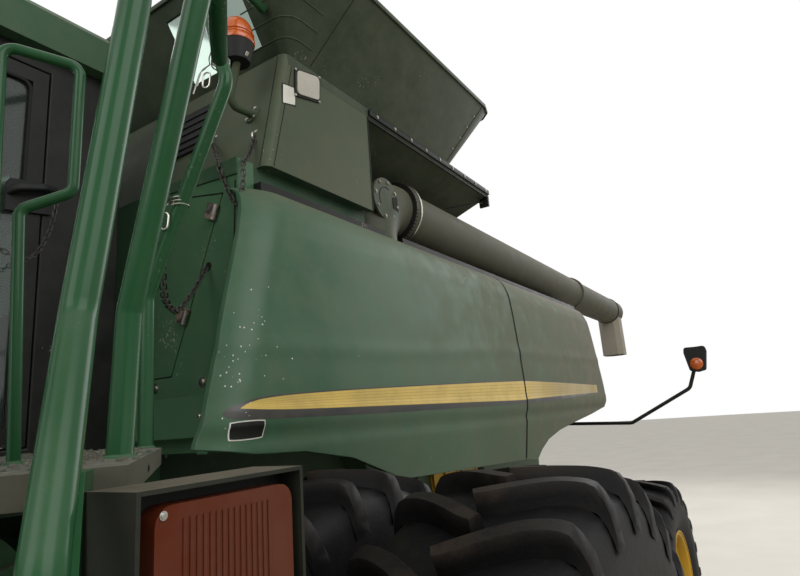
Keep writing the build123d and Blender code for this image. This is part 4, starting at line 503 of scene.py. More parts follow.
@dataclass(frozen=True)
class Tread(Finish):
    """Carbon-black rubber: near-black flanks, with brown soil ground into what touched the field.

    The piece's tag says where soil sits, and noise breaks it up.
    """

    colour: str = "17171a"
    soil: str = "6d5c48"
    soiled: float = 0.75

    def wire(self, add: Adder) -> dict:
        """Soil by the tag or as a thin film, which also dulls the rubber, and small pits.

        Args:
            add: node, with the material's tree given.

        Returns:
            The shader's sockets, each with a value or the output that feeds it.
        """
        spot = add("TexCoord", output="Object")
        cloud = add("TexNoise", {"Vector": spot, "Scale": 1000 / 60, "Detail": 8.0, "Roughness": 0.7})
        broken = add("MapRange", {"Value": cloud, "From Min": 0.34, "From Max": 0.66, "To Min": 0.1})
        tag = add("Attribute", output="Fac", attribute_name="tag")
        soil = add("Math", {0: tag, 1: broken}, operation="MULTIPLY")
        soil = add("Math", {0: soil, 1: self.soiled}, operation="MULTIPLY", use_clamp=True)
        film = add("MapRange", {"Value": cloud, "From Min": 0.5, "From Max": 0.8, "To Max": 0.12})
        amount = add("Math", {0: soil, 1: film}, operation="MAXIMUM")
        pits = add("TexNoise", {"Vector": spot, "Scale": 1000 / 9, "Detail": 5.0})
        return {
            "Base Color": add("Mix", {0: amount, 6: self.colour, 7: self.soil}, **RGBA),
            "Roughness": add("MapRange", {"Value": amount, "From Max": 0.6, "To Min": 0.52, "To Max": 0.95}),
            "Normal": add("Bump", {"Strength": 0.4, "Distance": 0.002, "Height": pits}),
            "IOR": 1.52,
            "Specular IOR Level": 0.14,
        }


@dataclass(frozen=True)
class Vinyl(Finish):
    """Cut vinyl film: even colour, a soft sheen, fine printed ribs along it and soil toward its rear end."""

    colour: str
    groove: str
    ribs: float = 0.0
    soil: float = 0.5

    def wire(self, add: Adder) -> dict:
        """Ribs as a cosine of the tag, which runs from 0 to 1 across the film, then grime in clouds and by x.

        Args:
            add: node, with the material's tree given.

        Returns:
            The shader's sockets, each with a value or the output that feeds it.
        """
        spot = add("TexCoord", output="Object")
        tag = add("Attribute", output="Fac", attribute_name="tag")
        wave = add("Math", {0: tag, 1: 2 * math.pi * max(self.ribs, 0.01)}, operation="MULTIPLY")
        wave = add("Math", {0: wave}, operation="COSINE")
        depth = 0.6 if self.ribs else 0.0
        line = add("MapRange", {"Value": wave, "From Min": 0.45, "From Max": 1.0, "To Max": depth})
        cloud = add("TexNoise", {"Vector": spot, "Scale": 1000 / 170, "Detail": 8.0, "Roughness": 0.7})
        grime = add("MapRange", {"Value": cloud, "From Min": 0.4, "From Max": 0.75, "To Max": 0.4})
        back = add("SeparateXYZ", {0: spot}, "X")
        back = add("MapRange", {"Value": back, "From Min": -0.1, "From Max": -0.9, "To Max": self.soil})
        soiled = add("Math", {0: grime, 1: back}, operation="MAXIMUM")
        ribbed = add("Mix", {0: line, 6: self.colour, 7: self.groove}, **RGBA)
        return {
            "Base Color": add("Mix", {0: soiled, 6: ribbed, 7: "5c5644"}, **RGBA),
            "Roughness": add("MapRange", {"Value": grime, "From Max": 0.4, "To Min": 0.34, "To Max": 0.6}),
            "IOR": 1.5,
        }


@dataclass(frozen=True)
class Metal(Finish):
    """Bare or plated steel: grey reflections broken by rust or handling, over a fine grain."""

    colour: str
    rust: str = "5d4230"
    rusty: float = 0.25
    rough: float = 0.34
    grain_mm: float = 14.0

    def wire(self, add: Adder) -> dict:
        """Rust where the noise passes a limit that falls as rusty grows; rust is dull and hardly metallic.

        Args:
            add: node, with the material's tree given.

        Returns:
            The shader's sockets, each with a value or the output that feeds it.
        """
        spot = add("TexCoord", output="Object")
        cloud = add("TexNoise", {"Vector": spot, "Scale": 1000 / 35, "Detail": 8.0, "Roughness": 0.75})
        low, high = 0.62 - 0.3 * self.rusty, 0.72 - 0.2 * self.rusty
        rust = add("MapRange", {"Value": cloud, "From Min": low, "From Max": high})
        grain = add("TexNoise", {"Vector": spot, "Scale": 1000 / self.grain_mm, "Detail": 4.0})
        return {
            "Base Color": add("Mix", {0: rust, 6: self.colour, 7: self.rust}, **RGBA),
            "Metallic": add("MapRange", {"Value": rust, "To Min": 1.0, "To Max": 0.15}),
            "Roughness": add("MapRange", {"Value": rust, "To Min": self.rough, "To Max": 0.85}),
            "Normal": add("Bump", {"Strength": 0.12, "Distance": 0.001, "Height": grain}),
        }


@dataclass(frozen=True)
class Plastic(Finish):
    """Moulded plastic or rubber seal: even colour, a fine moulded grain and a dulling of dust."""

    colour: str
    rough: float = 0.5
    dust: str = "7d776a"
    dusty: float = 0.2
    grain_mm: float = 3.0

    def wire(self, add: Adder) -> dict:
        """A dusty veil over the colour, rougher where it is thick, and the grain's bump.

        Args:
            add: node, with the material's tree given.

        Returns:
            The shader's sockets, each with a value or the output that feeds it.
        """
        spot = add("TexCoord", output="Object")
        cloud = add("TexNoise", {"Vector": spot, "Scale": 1000 / 90, "Detail": 8.0, "Roughness": 0.7})
        veil = add("MapRange", {"Value": cloud, "From Min": 0.35, "From Max": 0.72, "To Max": self.dusty})
        span = {"From Min": 0.3, "From Max": 0.75, "To Min": self.rough, "To Max": self.rough + 0.22}
        grain = add("TexNoise", {"Vector": spot, "Scale": 1000 / self.grain_mm})
        return {
            "Base Color": add("Mix", {0: veil, 6: self.colour, 7: self.dust}, **RGBA),
            "Roughness": add("MapRange", {"Value": cloud, **span}),
            "Normal": add("Bump", {"Strength": 0.15, "Distance": 0.0005, "Height": grain}),
            "IOR": 1.47,
            "Specular IOR Level": 0.2,
        }


@dataclass(frozen=True)
class Pane(Finish):
    """Tinted safety glass or clear lens plastic: see-through with a tint, smeared by dust."""

    tint: str
    rough: float = 0.04
    clear: float = 0.92
    smear: float = 0.2
    gloss: float = 0.5

    def wire(self, add: Adder) -> dict:
        """Smears of dust in clouds over the tint, rougher where they are thick.

        Args:
            add: node, with the material's tree given.

        Returns:
            The shader's sockets, each with a value or the output that feeds it.
        """
        spot = add("TexCoord", output="Object")
        cloud = add("TexNoise", {"Vector": spot, "Scale": 1000 / 200, "Detail": 8.0, "Roughness": 0.7})
        smear = add("MapRange", {"Value": cloud, "From Min": 0.4, "From Max": 0.8, "To Max": self.smear})
        span = {"From Max": 0.3, "To Min": self.rough, "To Max": self.rough + 0.15}
        return {
            "Base Color": add("Mix", {0: smear, 6: self.tint, 7: "8a8475"}, **RGBA),
            "Roughness": add("MapRange", {"Value": smear, **span}),
            "Transmission Weight": self.clear,
            "Specular IOR Level": self.gloss,
            "IOR": 1.5,
        }


@dataclass(frozen=True)
class Deck(Finish):
    """Non-slip deck plate: painted grit, mostly hidden by crumbs of soil and chaff, pale where boots scuff it."""

    colour: str = "364236"
    soil: str = "544e41"
    crumb: str = "7f7a69"

    def wire(self, add: Adder) -> dict:
        """Patches of soil with paler crumbs at the cells' middles, which also raise the surface.

        Args:
            add: node, with the material's tree given.

        Returns:
            The shader's sockets, each with a value or the output that feeds it.
        """
        spot = add("TexCoord", output="Object")
        patch = add("TexNoise", {"Vector": spot, "Scale": 1000 / 120, "Detail": 6.0, "Roughness": 0.65})
        lying = add("MapRange", {"Value": patch, "From Min": 0.35, "From Max": 0.6})
        cells = add("TexVoronoi", {"Vector": spot, "Scale": 1000 / 14})
        span = {"From Min": 0.15, "From Max": 0.5, "To Min": 1.0, "To Max": 0.0}
        crumbs = add("MapRange", {"Value": cells, **span})
        grit = add("Mix", {0: crumbs, 6: self.soil, 7: self.crumb}, **RGBA)
        fine = add("TexNoise", {"Vector": spot, "Scale": 1000 / 8, "Detail": 4.0})
        height = add("Math", {0: crumbs, 1: fine}, operation="ADD")
        return {
            "Base Color": add("Mix", {0: lying, 6: self.colour, 7: grit}, **RGBA),
            "Normal": add("Bump", {"Strength": 0.8, "Distance": 0.004, "Height": height}),
            "Roughness": 0.9,
        }


@dataclass(frozen=True)
class Sieve(Finish):
    """Perforated steel screen: black paint with rows of round holes in near-black, painted shade for the dark behind
    them, drawn 12 mm apart so that they show.
    """

    colour: str = "1b1c1b"
    # Near-black of the holes: painted shade.
    hole_shade: str = "050505"
    pitch_mm: float = 12.0

    def wire(self, add: Adder) -> dict:
        """Holes at the middles of even cells in near-black as painted shade, dust on the paint between them.

        Args:
            add: node, with the material's tree given.

        Returns:
            The shader's sockets, each with a value or the output that feeds it.
        """
        spot = add("TexCoord", output="Object")
        cells = add("TexVoronoi", {"Vector": spot, "Scale": 1000 / self.pitch_mm, "Randomness": 0.0})
        solid = add("MapRange", {"Value": cells, "From Min": 0.3, "From Max": 0.36})
        cloud = add("TexNoise", {"Vector": spot, "Scale": 1000 / 120, "Detail": 6.0})
        dusted = add("Mix", {0: cloud, 6: self.colour, 7: "56503f"}, **RGBA)
        return {
            "Base Color": add("Mix", {0: solid, 6: self.hole_shade, 7: dusted}, **RGBA),
            "Normal": add("Bump", {"Strength": 0.7, "Distance": 0.002, "Height": solid}),
            "Roughness": 0.6,
        }


@dataclass(frozen=True)
class Cloth(Finish):
    """Woven seat cloth: dark threads over and under at 4 mm, wide enough to show, with a soft sheen."""

    colour: str
    thread: str
    pitch_mm: float = 4.0

    def wire(self, add: Adder) -> dict:
        """A checker weave that also raises the surface, faded in clouds.

        Args:
            add: node, with the material's tree given.

        Returns:
            The shader's sockets, each with a value or the output that feeds it.
        """
        spot = add("TexCoord", output="Object")
        weave = add("TexChecker", {"Vector": spot, "Scale": 1000 / self.pitch_mm}, "Fac")
        woven = add("Mix", {0: weave, 6: self.colour, 7: self.thread}, **RGBA)
        worn = add("TexNoise", {"Vector": spot, "Scale": 1000 / 90, "Detail": 6.0})
        return {
            "Base Color": add("Mix", {0: worn, 6: woven, 7: "4a463c"}, **RGBA),
            "Normal": add("Bump", {"Strength": 0.4, "Distance": 0.001, "Height": weave}),
            "Roughness": 0.9,
            "Sheen Weight": 0.3,
        }


GREEN = Paint("sprayed_green_enamel", "2a4a31", "325038", veil=0.18, drift=0.35, dust="6c6657")
BOX_GREEN = Paint("cover_green_enamel", "384733", "444a38", rough=0.4, veil=0.3, dust="605c4c", dent_mm=300.0)
WALL_GREEN = Paint("wall_green_enamel", "3a5c3f", "36533e", rough=0.3, veil=0.12, settle=0.3, dust="6c6a56", gloss=0.25)
# Wall green darkened for the folded ledge under the cover boxes: painted shade.
LEDGE_SHADE_GREEN = Paint("ledge_green_painted_shade", "24412c", "1f3a28", rough=0.4, veil=0.12, settle=0.4)
SHIELD_GREEN = Paint(
    "moulded_shield_green_enamel", "2a4c33", "375740", rough=0.3, veil=0.2, settle=0.5, dent_mm=520.0, drift=0.75,
    dust="6e6657", gloss=0.22,
)
RAIL_GREEN = Paint("tube_green_enamel", "1f4c2b", "1c4427", rough=0.2, veil=0.03, settle=0.2, chips=0.1, gloss=0.17)
# The machine's green darkened as painted shade for the tank and its extension; the auger's elbow plate takes it too.
TANK_SHADE_GREEN = Paint("tank_green_painted_shade", "263423", "2b3626", rough=0.42, veil=0.1, settle=0.5, drift=0.3)
CHASSIS_GREEN = Paint("dusty_chassis_enamel", "263d2b", "1f3024", rough=0.5, veil=0.3, settle=0.8, dust="5f5a4c")
TUBE_GREEN = Paint(
    "auger_tube_dusty_enamel", "3f4336", "3a4034", rough=0.5, veil=0.35, settle=0.7, dust="625c4e", drift=0.4
)
SPOUT_GREY = Paint("weathered_spout_enamel", "8f887a", "7f786a", rough=0.6, veil=0.3)
WORN_PLATE = Paint("dirty_plate_enamel", "3e4036", "454133", rough=0.6, veil=0.35, settle=0.6, chips=0.7, dust="666052")
GUARD_PAINT = Paint(
    "dusty_guard_enamel", "1a1e18", "23251c", rough=0.6, veil=0.15, settle=0.85, dust="5f584b", chips=0.5
)
YELLOW = Paint("rim_yellow_enamel", "c79b2a", "b8902c", rough=0.4, veil=0.3, dust="7d6a4c")
BLACK = Paint("black_satin_enamel", "101211", "161815", rough=0.42, veil=0.14, dust="4f4b42")
RUBBER = Tread("soiled_tyre_rubber", colour="070708", soil="43382c", soiled=0.65)
SEAL = Plastic("seal_rubber", "101110", rough=0.6, dusty=0.1, dust="4a463d")
STRIPE = Vinyl("yellow_stripe_vinyl", "c9aa4c", "9c8030", ribs=6.0)
STRIPE_EDGE = Vinyl("black_stripe_vinyl", "101110", "101110", soil=0.15)
STEEL = Metal("worn_bare_steel", "8b8780", rusty=0.55)
ZINC = Metal("zinc_plated_steel", "a9a79e", rusty=0.12, rough=0.3)
CHROME = Metal("hard_chrome_rod", "c9c9c6", rusty=0.0, rough=0.12)
CHAIN_STEEL = Metal("old_chain_steel", "4b4a47", rust="2e2721", rusty=0.7, rough=0.5)
RUSTED = Metal("heat_rusted_steel", "55504a", rust="6a4a33", rusty=1.0, rough=0.6)
GLASS = Pane("tinted_safety_glass", "93a29a", clear=0.94, smear=0.1)
AMBER = Pane("ribbed_amber_lens", "542310", rough=0.3, clear=0.03, smear=0.12, gloss=0.12)
RED_LENS = Pane("red_tail_lens", "7a1410", rough=0.25, clear=0.05, smear=0.3)
AMBER_DOME = Pane("amber_beacon_dome", "b9561a", rough=0.14, clear=0.1, smear=0.12)
CLEAR = Pane("clear_lens_plastic", "c9c2b2", rough=0.15, clear=0.35, smear=0.4)
MOULDED = Plastic("moulded_black_plastic", "151717", rough=0.48, dusty=0.1, dust="5a554a")
GREY_MOULDED = Plastic("moulded_grey_plastic", "4a4a45", rough=0.55)
WHITE_PLATE = Plastic("blank_white_plate", "cfcdc2", rough=0.4, dusty=0.3)
SPLASH = Plastic("dried_white_splash", "cfd0c6", rough=0.7, dusty=0.05)
DECK_PLATE = Deck("gritty_deck_plate")
SCREEN = Sieve("perforated_screen")
SEAT_CLOTH = Cloth("woven_seat_cloth", "2b2b28", "3a3a35")


def place(
    name: str,
    mesh: bpy.types.Mesh,
    finishes: Sequence[Finish],
    like: str,
    replaces: Sequence[str] = (),
    sharp: float = 35.0,
    bevel: float = 0.0,
    segments: int = 2,
) -> bpy.types.Object:
    """Put a finished mesh into the scene.

    Args:
        name: the piece's name.
        mesh: its mesh, in metres.
        finishes: finishes in the order of the faces' marks.
        like: CAD node whose body it rides on.
        replaces: CAD nodes that it stands for.
        sharp: angle in degrees past which an edge stays sharp.
        bevel: width in millimetres of the softened edges, or 0.
        segments: steps of that bevel.

    Returns:
        The new object.
    """
    body = frame["nodes"][like]["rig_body"]
    marks = np.zeros(len(mesh.polygons), dtype=np.int32)
    mesh.polygons.foreach_get("material_index", marks)
    mesh.materials.clear()
    for finish in finishes:
        mesh.materials.append(finish.material())
    mesh.polygons.foreach_set("material_index", np.minimum(marks, len(finishes) - 1))
    mesh.shade_smooth()
    mesh.set_sharp_from_angle(angle=math.radians(sharp))
    made = bpy.data.objects.new(name, mesh)
    bpy.context.scene.collection.objects.link(made)
    if bevel:
        soften = made.modifiers.new("softened_edges", "BEVEL")
        soften.width = bevel / 1000
        soften.segments = segments
        soften.limit_method = "ANGLE"
        soften.angle_limit = math.radians(max(sharp, 30.0))
        soften.harden_normals = True
        soften.use_clamp_overlap = True
    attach(made, body)
    if replaces:
        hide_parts(*replaces)
    LOG.info("%s: %d faces on %s", name, len(mesh.polygons), body)
    return made


def piece(
    name: str, shape: Shape, finishes: Sequence[Finish], like: str, replaces: Sequence[str] = (), **edges: float
) -> bpy.types.Object:
    """Make a piece from a gathered shape: doubles merged, then all faces turned outwards.

    Args:
        name: the piece's name.
        shape: its closed shells.
        finishes: finishes in the order of the shape's marks.
        like: CAD node whose body it rides on.
        replaces: CAD nodes that it stands for.
        edges: sharp, bevel and segments as place takes them.

    Returns:
        The new object.
    """
    mesh = bpy.data.meshes.new(name)
    mesh.from_pydata(np.concatenate(shape.points).tolist(), [], shape.faces)
    mesh.polygons.foreach_set("material_index", shape.marks)
    mesh.attributes.new("tag", "FLOAT", "POINT").data.foreach_set("value", np.concatenate(shape.tags))
    tidy = bmesh.new()
    tidy.from_mesh(mesh)
    bmesh.ops.remove_doubles(tidy, verts=tidy.verts, dist=2e-6)
    bmesh.ops.recalc_face_normals(tidy, faces=tidy.faces)
    tidy.to_mesh(mesh)
    tidy.free()
    return place(name, mesh, finishes, like, replaces, **edges)


Region = Callable[[np.ndarray, np.ndarray], np.ndarray]


def softened(
    cad: str, finishes: Sequence[Finish], region: Region | None = None, bevel: float = 2.5, sharp: float = 28.0
) -> bpy.types.Object:
    """Merged copy of a CAD node with softened edges, which stands for the node.

    Args:
        cad: the node's name.
        finishes: finishes in the order of the region's numbers.
        region: gives each face's finish from its centre, in millimetres from the
            front axle, and its normal.
        bevel: width in millimetres of the softened edges, or 0.
        sharp: angle in degrees past which an edge is an edge.

    Returns:
        The new object.
    """
    mesh = frame["nodes"][cad].data.copy()
    tidy = bmesh.new()
    tidy.from_mesh(mesh)
    bmesh.ops.remove_doubles(tidy, verts=tidy.verts, dist=1e-5)
    bmesh.ops.dissolve_limit(tidy, angle_limit=math.radians(0.6), verts=tidy.verts, edges=tidy.edges)
    tidy.to_mesh(mesh)
    tidy.free()
    mesh.polygons.foreach_set("material_index", np.zeros(len(mesh.polygons), dtype=np.int32))
    if region is not None:
        centres, normals = np.zeros(len(mesh.polygons) * 3), np.zeros(len(mesh.polygons) * 3)
        mesh.polygons.foreach_get("center", centres)
        mesh.polygons.foreach_get("normal", normals)
        at = centres.reshape(-1, 3) * 1000 - (AXLE, 0, 0)
        mesh.polygons.foreach_set("material_index", region(at, normals.reshape(-1, 3)).astype(int))
    return place(f"{cad}_dressed", mesh, finishes, cad, (cad,), sharp, bevel)


class End(Enum):
    """Which of a side's two shields."""

    FRONT = "front"
    REAR = "rear"


@dataclass
class SideShields:
    """Moulded side shields with their stripe: two a side, hung from the deck's edge.

    The skin is y = section(z) less the rounding toward an upright end, with low
    ridges where the moulding is creased.
    """

    section: tuple = (  # z, y
        (1740, 1585), (1850, 1600), (2000, 1622), (2095, 1637), (2125, 1641), (2165, 1643), (2190, 1640),
        (2250, 1639), (2474, 1628), (2640, 1617), (2760, 1607), (2860, 1594), (2925, 1572), (2965, 1545),
        (2990, 1510), (3001, 1482),
    )
    front_edge: tuple = ((2062, 476), (2200, 441), (2500, 362), (2800, 275), (2989, 216), (3001, 212))  # z, x
    rear_edge: tuple = ((2090, -4100), (2125, -4131), (2500, -4073), (2943, -4000), (3001, -3985))  # z, x
    arch: tuple = ((476, 2062), (307, 2033), (83, 2022), (-190, 1975), (-400, 1905), (-523, 1864), (-618, 1850))
    split: float = -2000.0
    seam: float = 6.0
    plate_at: tuple = (341.0, 2108.0)
    split_low: float = 1789.0
    rear_arch: tuple = (
        (-2210, 1764), (-2300, 1826), (-2435, 1884), (-2679, 1931), (-3024, 1968), (-3481, 2008), (-4006, 2062),
        (-4100, 2090),
    )
    front_round: tuple = (150.0, 74.0)  # reach, depth
    rear_round: tuple = (95.0, 40.0)
    wall: float = 22.0
    stripe_top: tuple = (  # x, z of the yellow's upper edge
        (-3791, 2261), (-2007, 2279), (-1953, 2278), (-510, 2238), (118, 2214), (292, 2200), (340, 2189), (368, 2175),
    )
    stripe_low: tuple = (
        (-3791, 2196), (-2007, 2162), (-1915, 2159), (-500, 2162), (120, 2164), (292, 2168), (368, 2173)
    )
    edge_top: tuple = (
        (-3791, 2264), (-2007, 2284), (-1953, 2283), (-510, 2243), (118, 2219), (292, 2206), (360, 2192),
        (395, 2179), (415, 2162),
    )
    edge_low: tuple = ((-3791, 2190), (-2007, 2137), (-496, 2133), (294, 2138), (380, 2142), (405, 2149), (415, 2160))

    def skin(self, x: np.ndarray, z: np.ndarray) -> np.ndarray:
        """Outer face: half width y in millimetres for stations x and heights z, as the class says."""
        y = through(self.section, z)
        for edge, (reach, depth), sign in (
            (self.front_edge, self.front_round, 1), (self.rear_edge, self.rear_round, -1)
        ):
            inside = sign * (through(edge, z) - x)
            y = y - depth * np.clip(1 - inside / reach, 0, 1) ** 2.2
        low_crease = np.interp(x, (-1562, 290), (2097, 2120))
        belly = np.clip((low_crease - z) / 70, 0, 1)
        mid_crease = np.interp(x, (-4100, -1677, -548, 328), (2500, 2464, 2393, 2369))
        top_crease = np.interp(x, (-4100, -656, 37, 300), (2880, 2853, 2816, 2802))
        y = y - 7 * belly * (1 - belly) * 4 * (z < low_crease)
        y = y + 4.5 * np.exp(-(((z - mid_crease) / 34) ** 2)) + 2.2 * np.clip((top_crease - z) / 12, 0, 1) * np.exp(
            -np.clip(top_crease - z, 0, None) / 160
        )
        return y

    def outline(self, end: End) -> tuple[np.ndarray, np.ndarray, np.ndarray, np.ndarray]:
        """Four edges in (x, z) of a shield: bottom and top from front to rear, front and rear from the bottom up."""
        edge, gap = (self.front_edge, self.seam / 2) if end is End.FRONT else (self.rear_edge, -self.seam / 2)
        (foot, _), (head, _) = edge[0], edge[-1]
        split = self.split + gap
        rise = np.linspace(0, 1, 61)
        upright = np.stack([np.full(61, split), self.split_low + (head - self.split_low) * rise], axis=1)
        z = foot + (head - foot) * rise
        free = np.stack([through(edge, z), z], axis=1)
        if end is End.FRONT:
            low, front, rear = (*self.arch, (split, self.split_low)), free, upright
        else:
            low, front, rear = ((split, self.split_low), *self.rear_arch), upright, free
        return along(low, 121), along((front[-1], rear[-1]), 121), front, rear

    def shell(self, end: End, sign: float) -> Shape:
        """Skin of one shield: a patch blended from its four edges, raised to the skin and given its wall.

        Formula: patch = (1-v) low + v top + (1-u) front + u rear less the bilinear
        blend of the corners; y = sign * skin(x, z).

        Args:
            end: which shield.
            sign: 1 on the left, -1 on the right.

        Returns:
            The closed shell.
        """
        low, top, front, rear = self.outline(end)
        u = np.linspace(0, 1, len(low))[:, None, None]
        v = np.linspace(0, 1, len(front))[None, :, None]
        flat = (
            (1 - v) * low[:, None]
            + v * top[:, None]
            + (1 - u) * front[None]
            + u * rear[None]
            - ((1 - u) * (1 - v) * low[0] + u * (1 - v) * low[-1] + (1 - u) * v * top[0] + u * v * top[-1])
        )
        x, z = flat[..., 0], flat[..., 1]
        grid = row(np.stack([x, sign * self.skin(x, z), z], axis=-1))
        inward = np.array([0, -sign * self.wall / 1000, 0])
        return Shape().slab(grid, inward)

    def band(
        self, shape: Shape, top: tuple, low: tuple, start: float, stop: float, proud: float, sign: float, mark: int
    ) -> None:
        """Strip of film on the skin between two edge tables: x runs evenly, z is blended between the edges.

        Args:
            shape: shape that takes it.
            top: x, z of the upper edge.
            low: x, z of the lower edge.
            start: rearmost station.
            stop: foremost station.
            proud: height over the skin in millimetres.
            sign: 1 on the left, -1 on the right.
            mark: number of the finish.
        """
        x = np.unique(np.concatenate([np.linspace(start, stop, 80), np.linspace(max(start, stop - 140), stop, 30)]))
        v = np.linspace(0, 1, 13)
        z = through(low, x)[:, None] * (1 - v) + through(top, x)[:, None] * v
        x = np.broadcast_to(x[:, None], z.shape)
        grid = row(np.stack([x, sign * (self.skin(x, z) + proud), z], axis=-1))
        shape.slab(grid, np.array([0, -sign * 0.0008, 0]), mark, np.broadcast_to(v, z.shape))

    def build(self) -> None:
        """Make both sides' shields, stripes and seals at the split, and the left one's blank plate and specks."""
        for side, sign in SIDES:
            for end in End:
                cad = f"{side}_{end.value}_shield"
                piece(f"{cad}_skin", self.shell(end, sign), [SHIELD_GREEN], cad, [cad], sharp=40, bevel=4, segments=3)
                film = Shape()
                ends = (self.split + 4, 415.0) if end is End.FRONT else (-3791.0, self.split - 4)
                self.band(film, self.edge_top, self.edge_low, *ends, 0.5, sign, 0)
                ends = (self.split + 4, 368.0) if end is End.FRONT else (-3780.0, self.split - 4)
                self.band(film, self.stripe_top, self.stripe_low, *ends, 1.0, sign, 1)
                inner = self.split + 3.5 if end is End.FRONT else self.split - 11.5
                x, z = np.meshgrid((inner, inner + 8.0), np.linspace(1800, 2996, 60), indexing="ij")
                lip = row(np.stack([x, sign * (self.skin(x, z) + 1.4), z], axis=-1))
                film.slab(lip, np.array([0, -0.004 * sign, 0]), 2)
                piece(f"{cad}_stripe", film, [STRIPE_EDGE, STRIPE, SEAL], cad)
        self.plate()
        self.splashes()

    def plate(self) -> None:
        """Blank dealer plate below the stripe: a waisted outline on the skin, pale rim and black field."""
        shape = Shape()
        for grow, proud, mark in ((0.0, 0.8, 0), (-3.5, 1.3, 1)):
            u, v = np.meshgrid(np.linspace(-1, 1, 25), np.linspace(-1, 1, 13), indexing="ij")
            pinch = 1 - 0.10 * np.abs(u) ** 3
            x = self.plate_at[0] + (62 + grow) * u * (1 - 0.04 * v * v)
            z = self.plate_at[1] + (29 + grow) * v * pinch - 0.02 * (x - self.plate_at[0])
            grid = row(np.stack([x, self.skin(x, z) + proud, z], axis=-1))
            shape.slab(grid, np.array([0, -0.001, 0]), mark)
        piece("dealer_plate_blank", shape, [WHITE_PLATE, BLACK], "left_front_shield")

    def splashes(self) -> None:
        """Dried white specks near the left shield's front edge: seeded random spots with flattened dome heads."""
        draw = np.random.default_rng(7)
        z = draw.triangular(2130, 2300, 2600, 44)
        x = through(self.front_edge, z) - 12 - draw.gamma(1.8, 40, 44)
        size = draw.uniform(0.0010, 0.0034, 44)
        dome = Shape().lathe([(0, -0.3), (1, -0.3), (0.92, 0.12), (0.5, 0.3), (0, 0.34)], (0, 0, 0), UP, 9, ring=False)
        shape = Shape()
        for scale in np.unique(np.round(size, 3)):
            pick = np.round(size, 3) == scale
            spot = Shape(
                points=[np.concatenate(dome.points) * scale], faces=dome.faces, marks=dome.marks, count=dome.count
            )
            at = row(np.stack([x[pick], self.skin(x[pick], z[pick]), z[pick]], axis=1))
            shape.scatter(spot, at, AHEAD, (0.15, 1, 0))
        piece("paint_splashes", shape, [SPLASH], "left_front_shield")


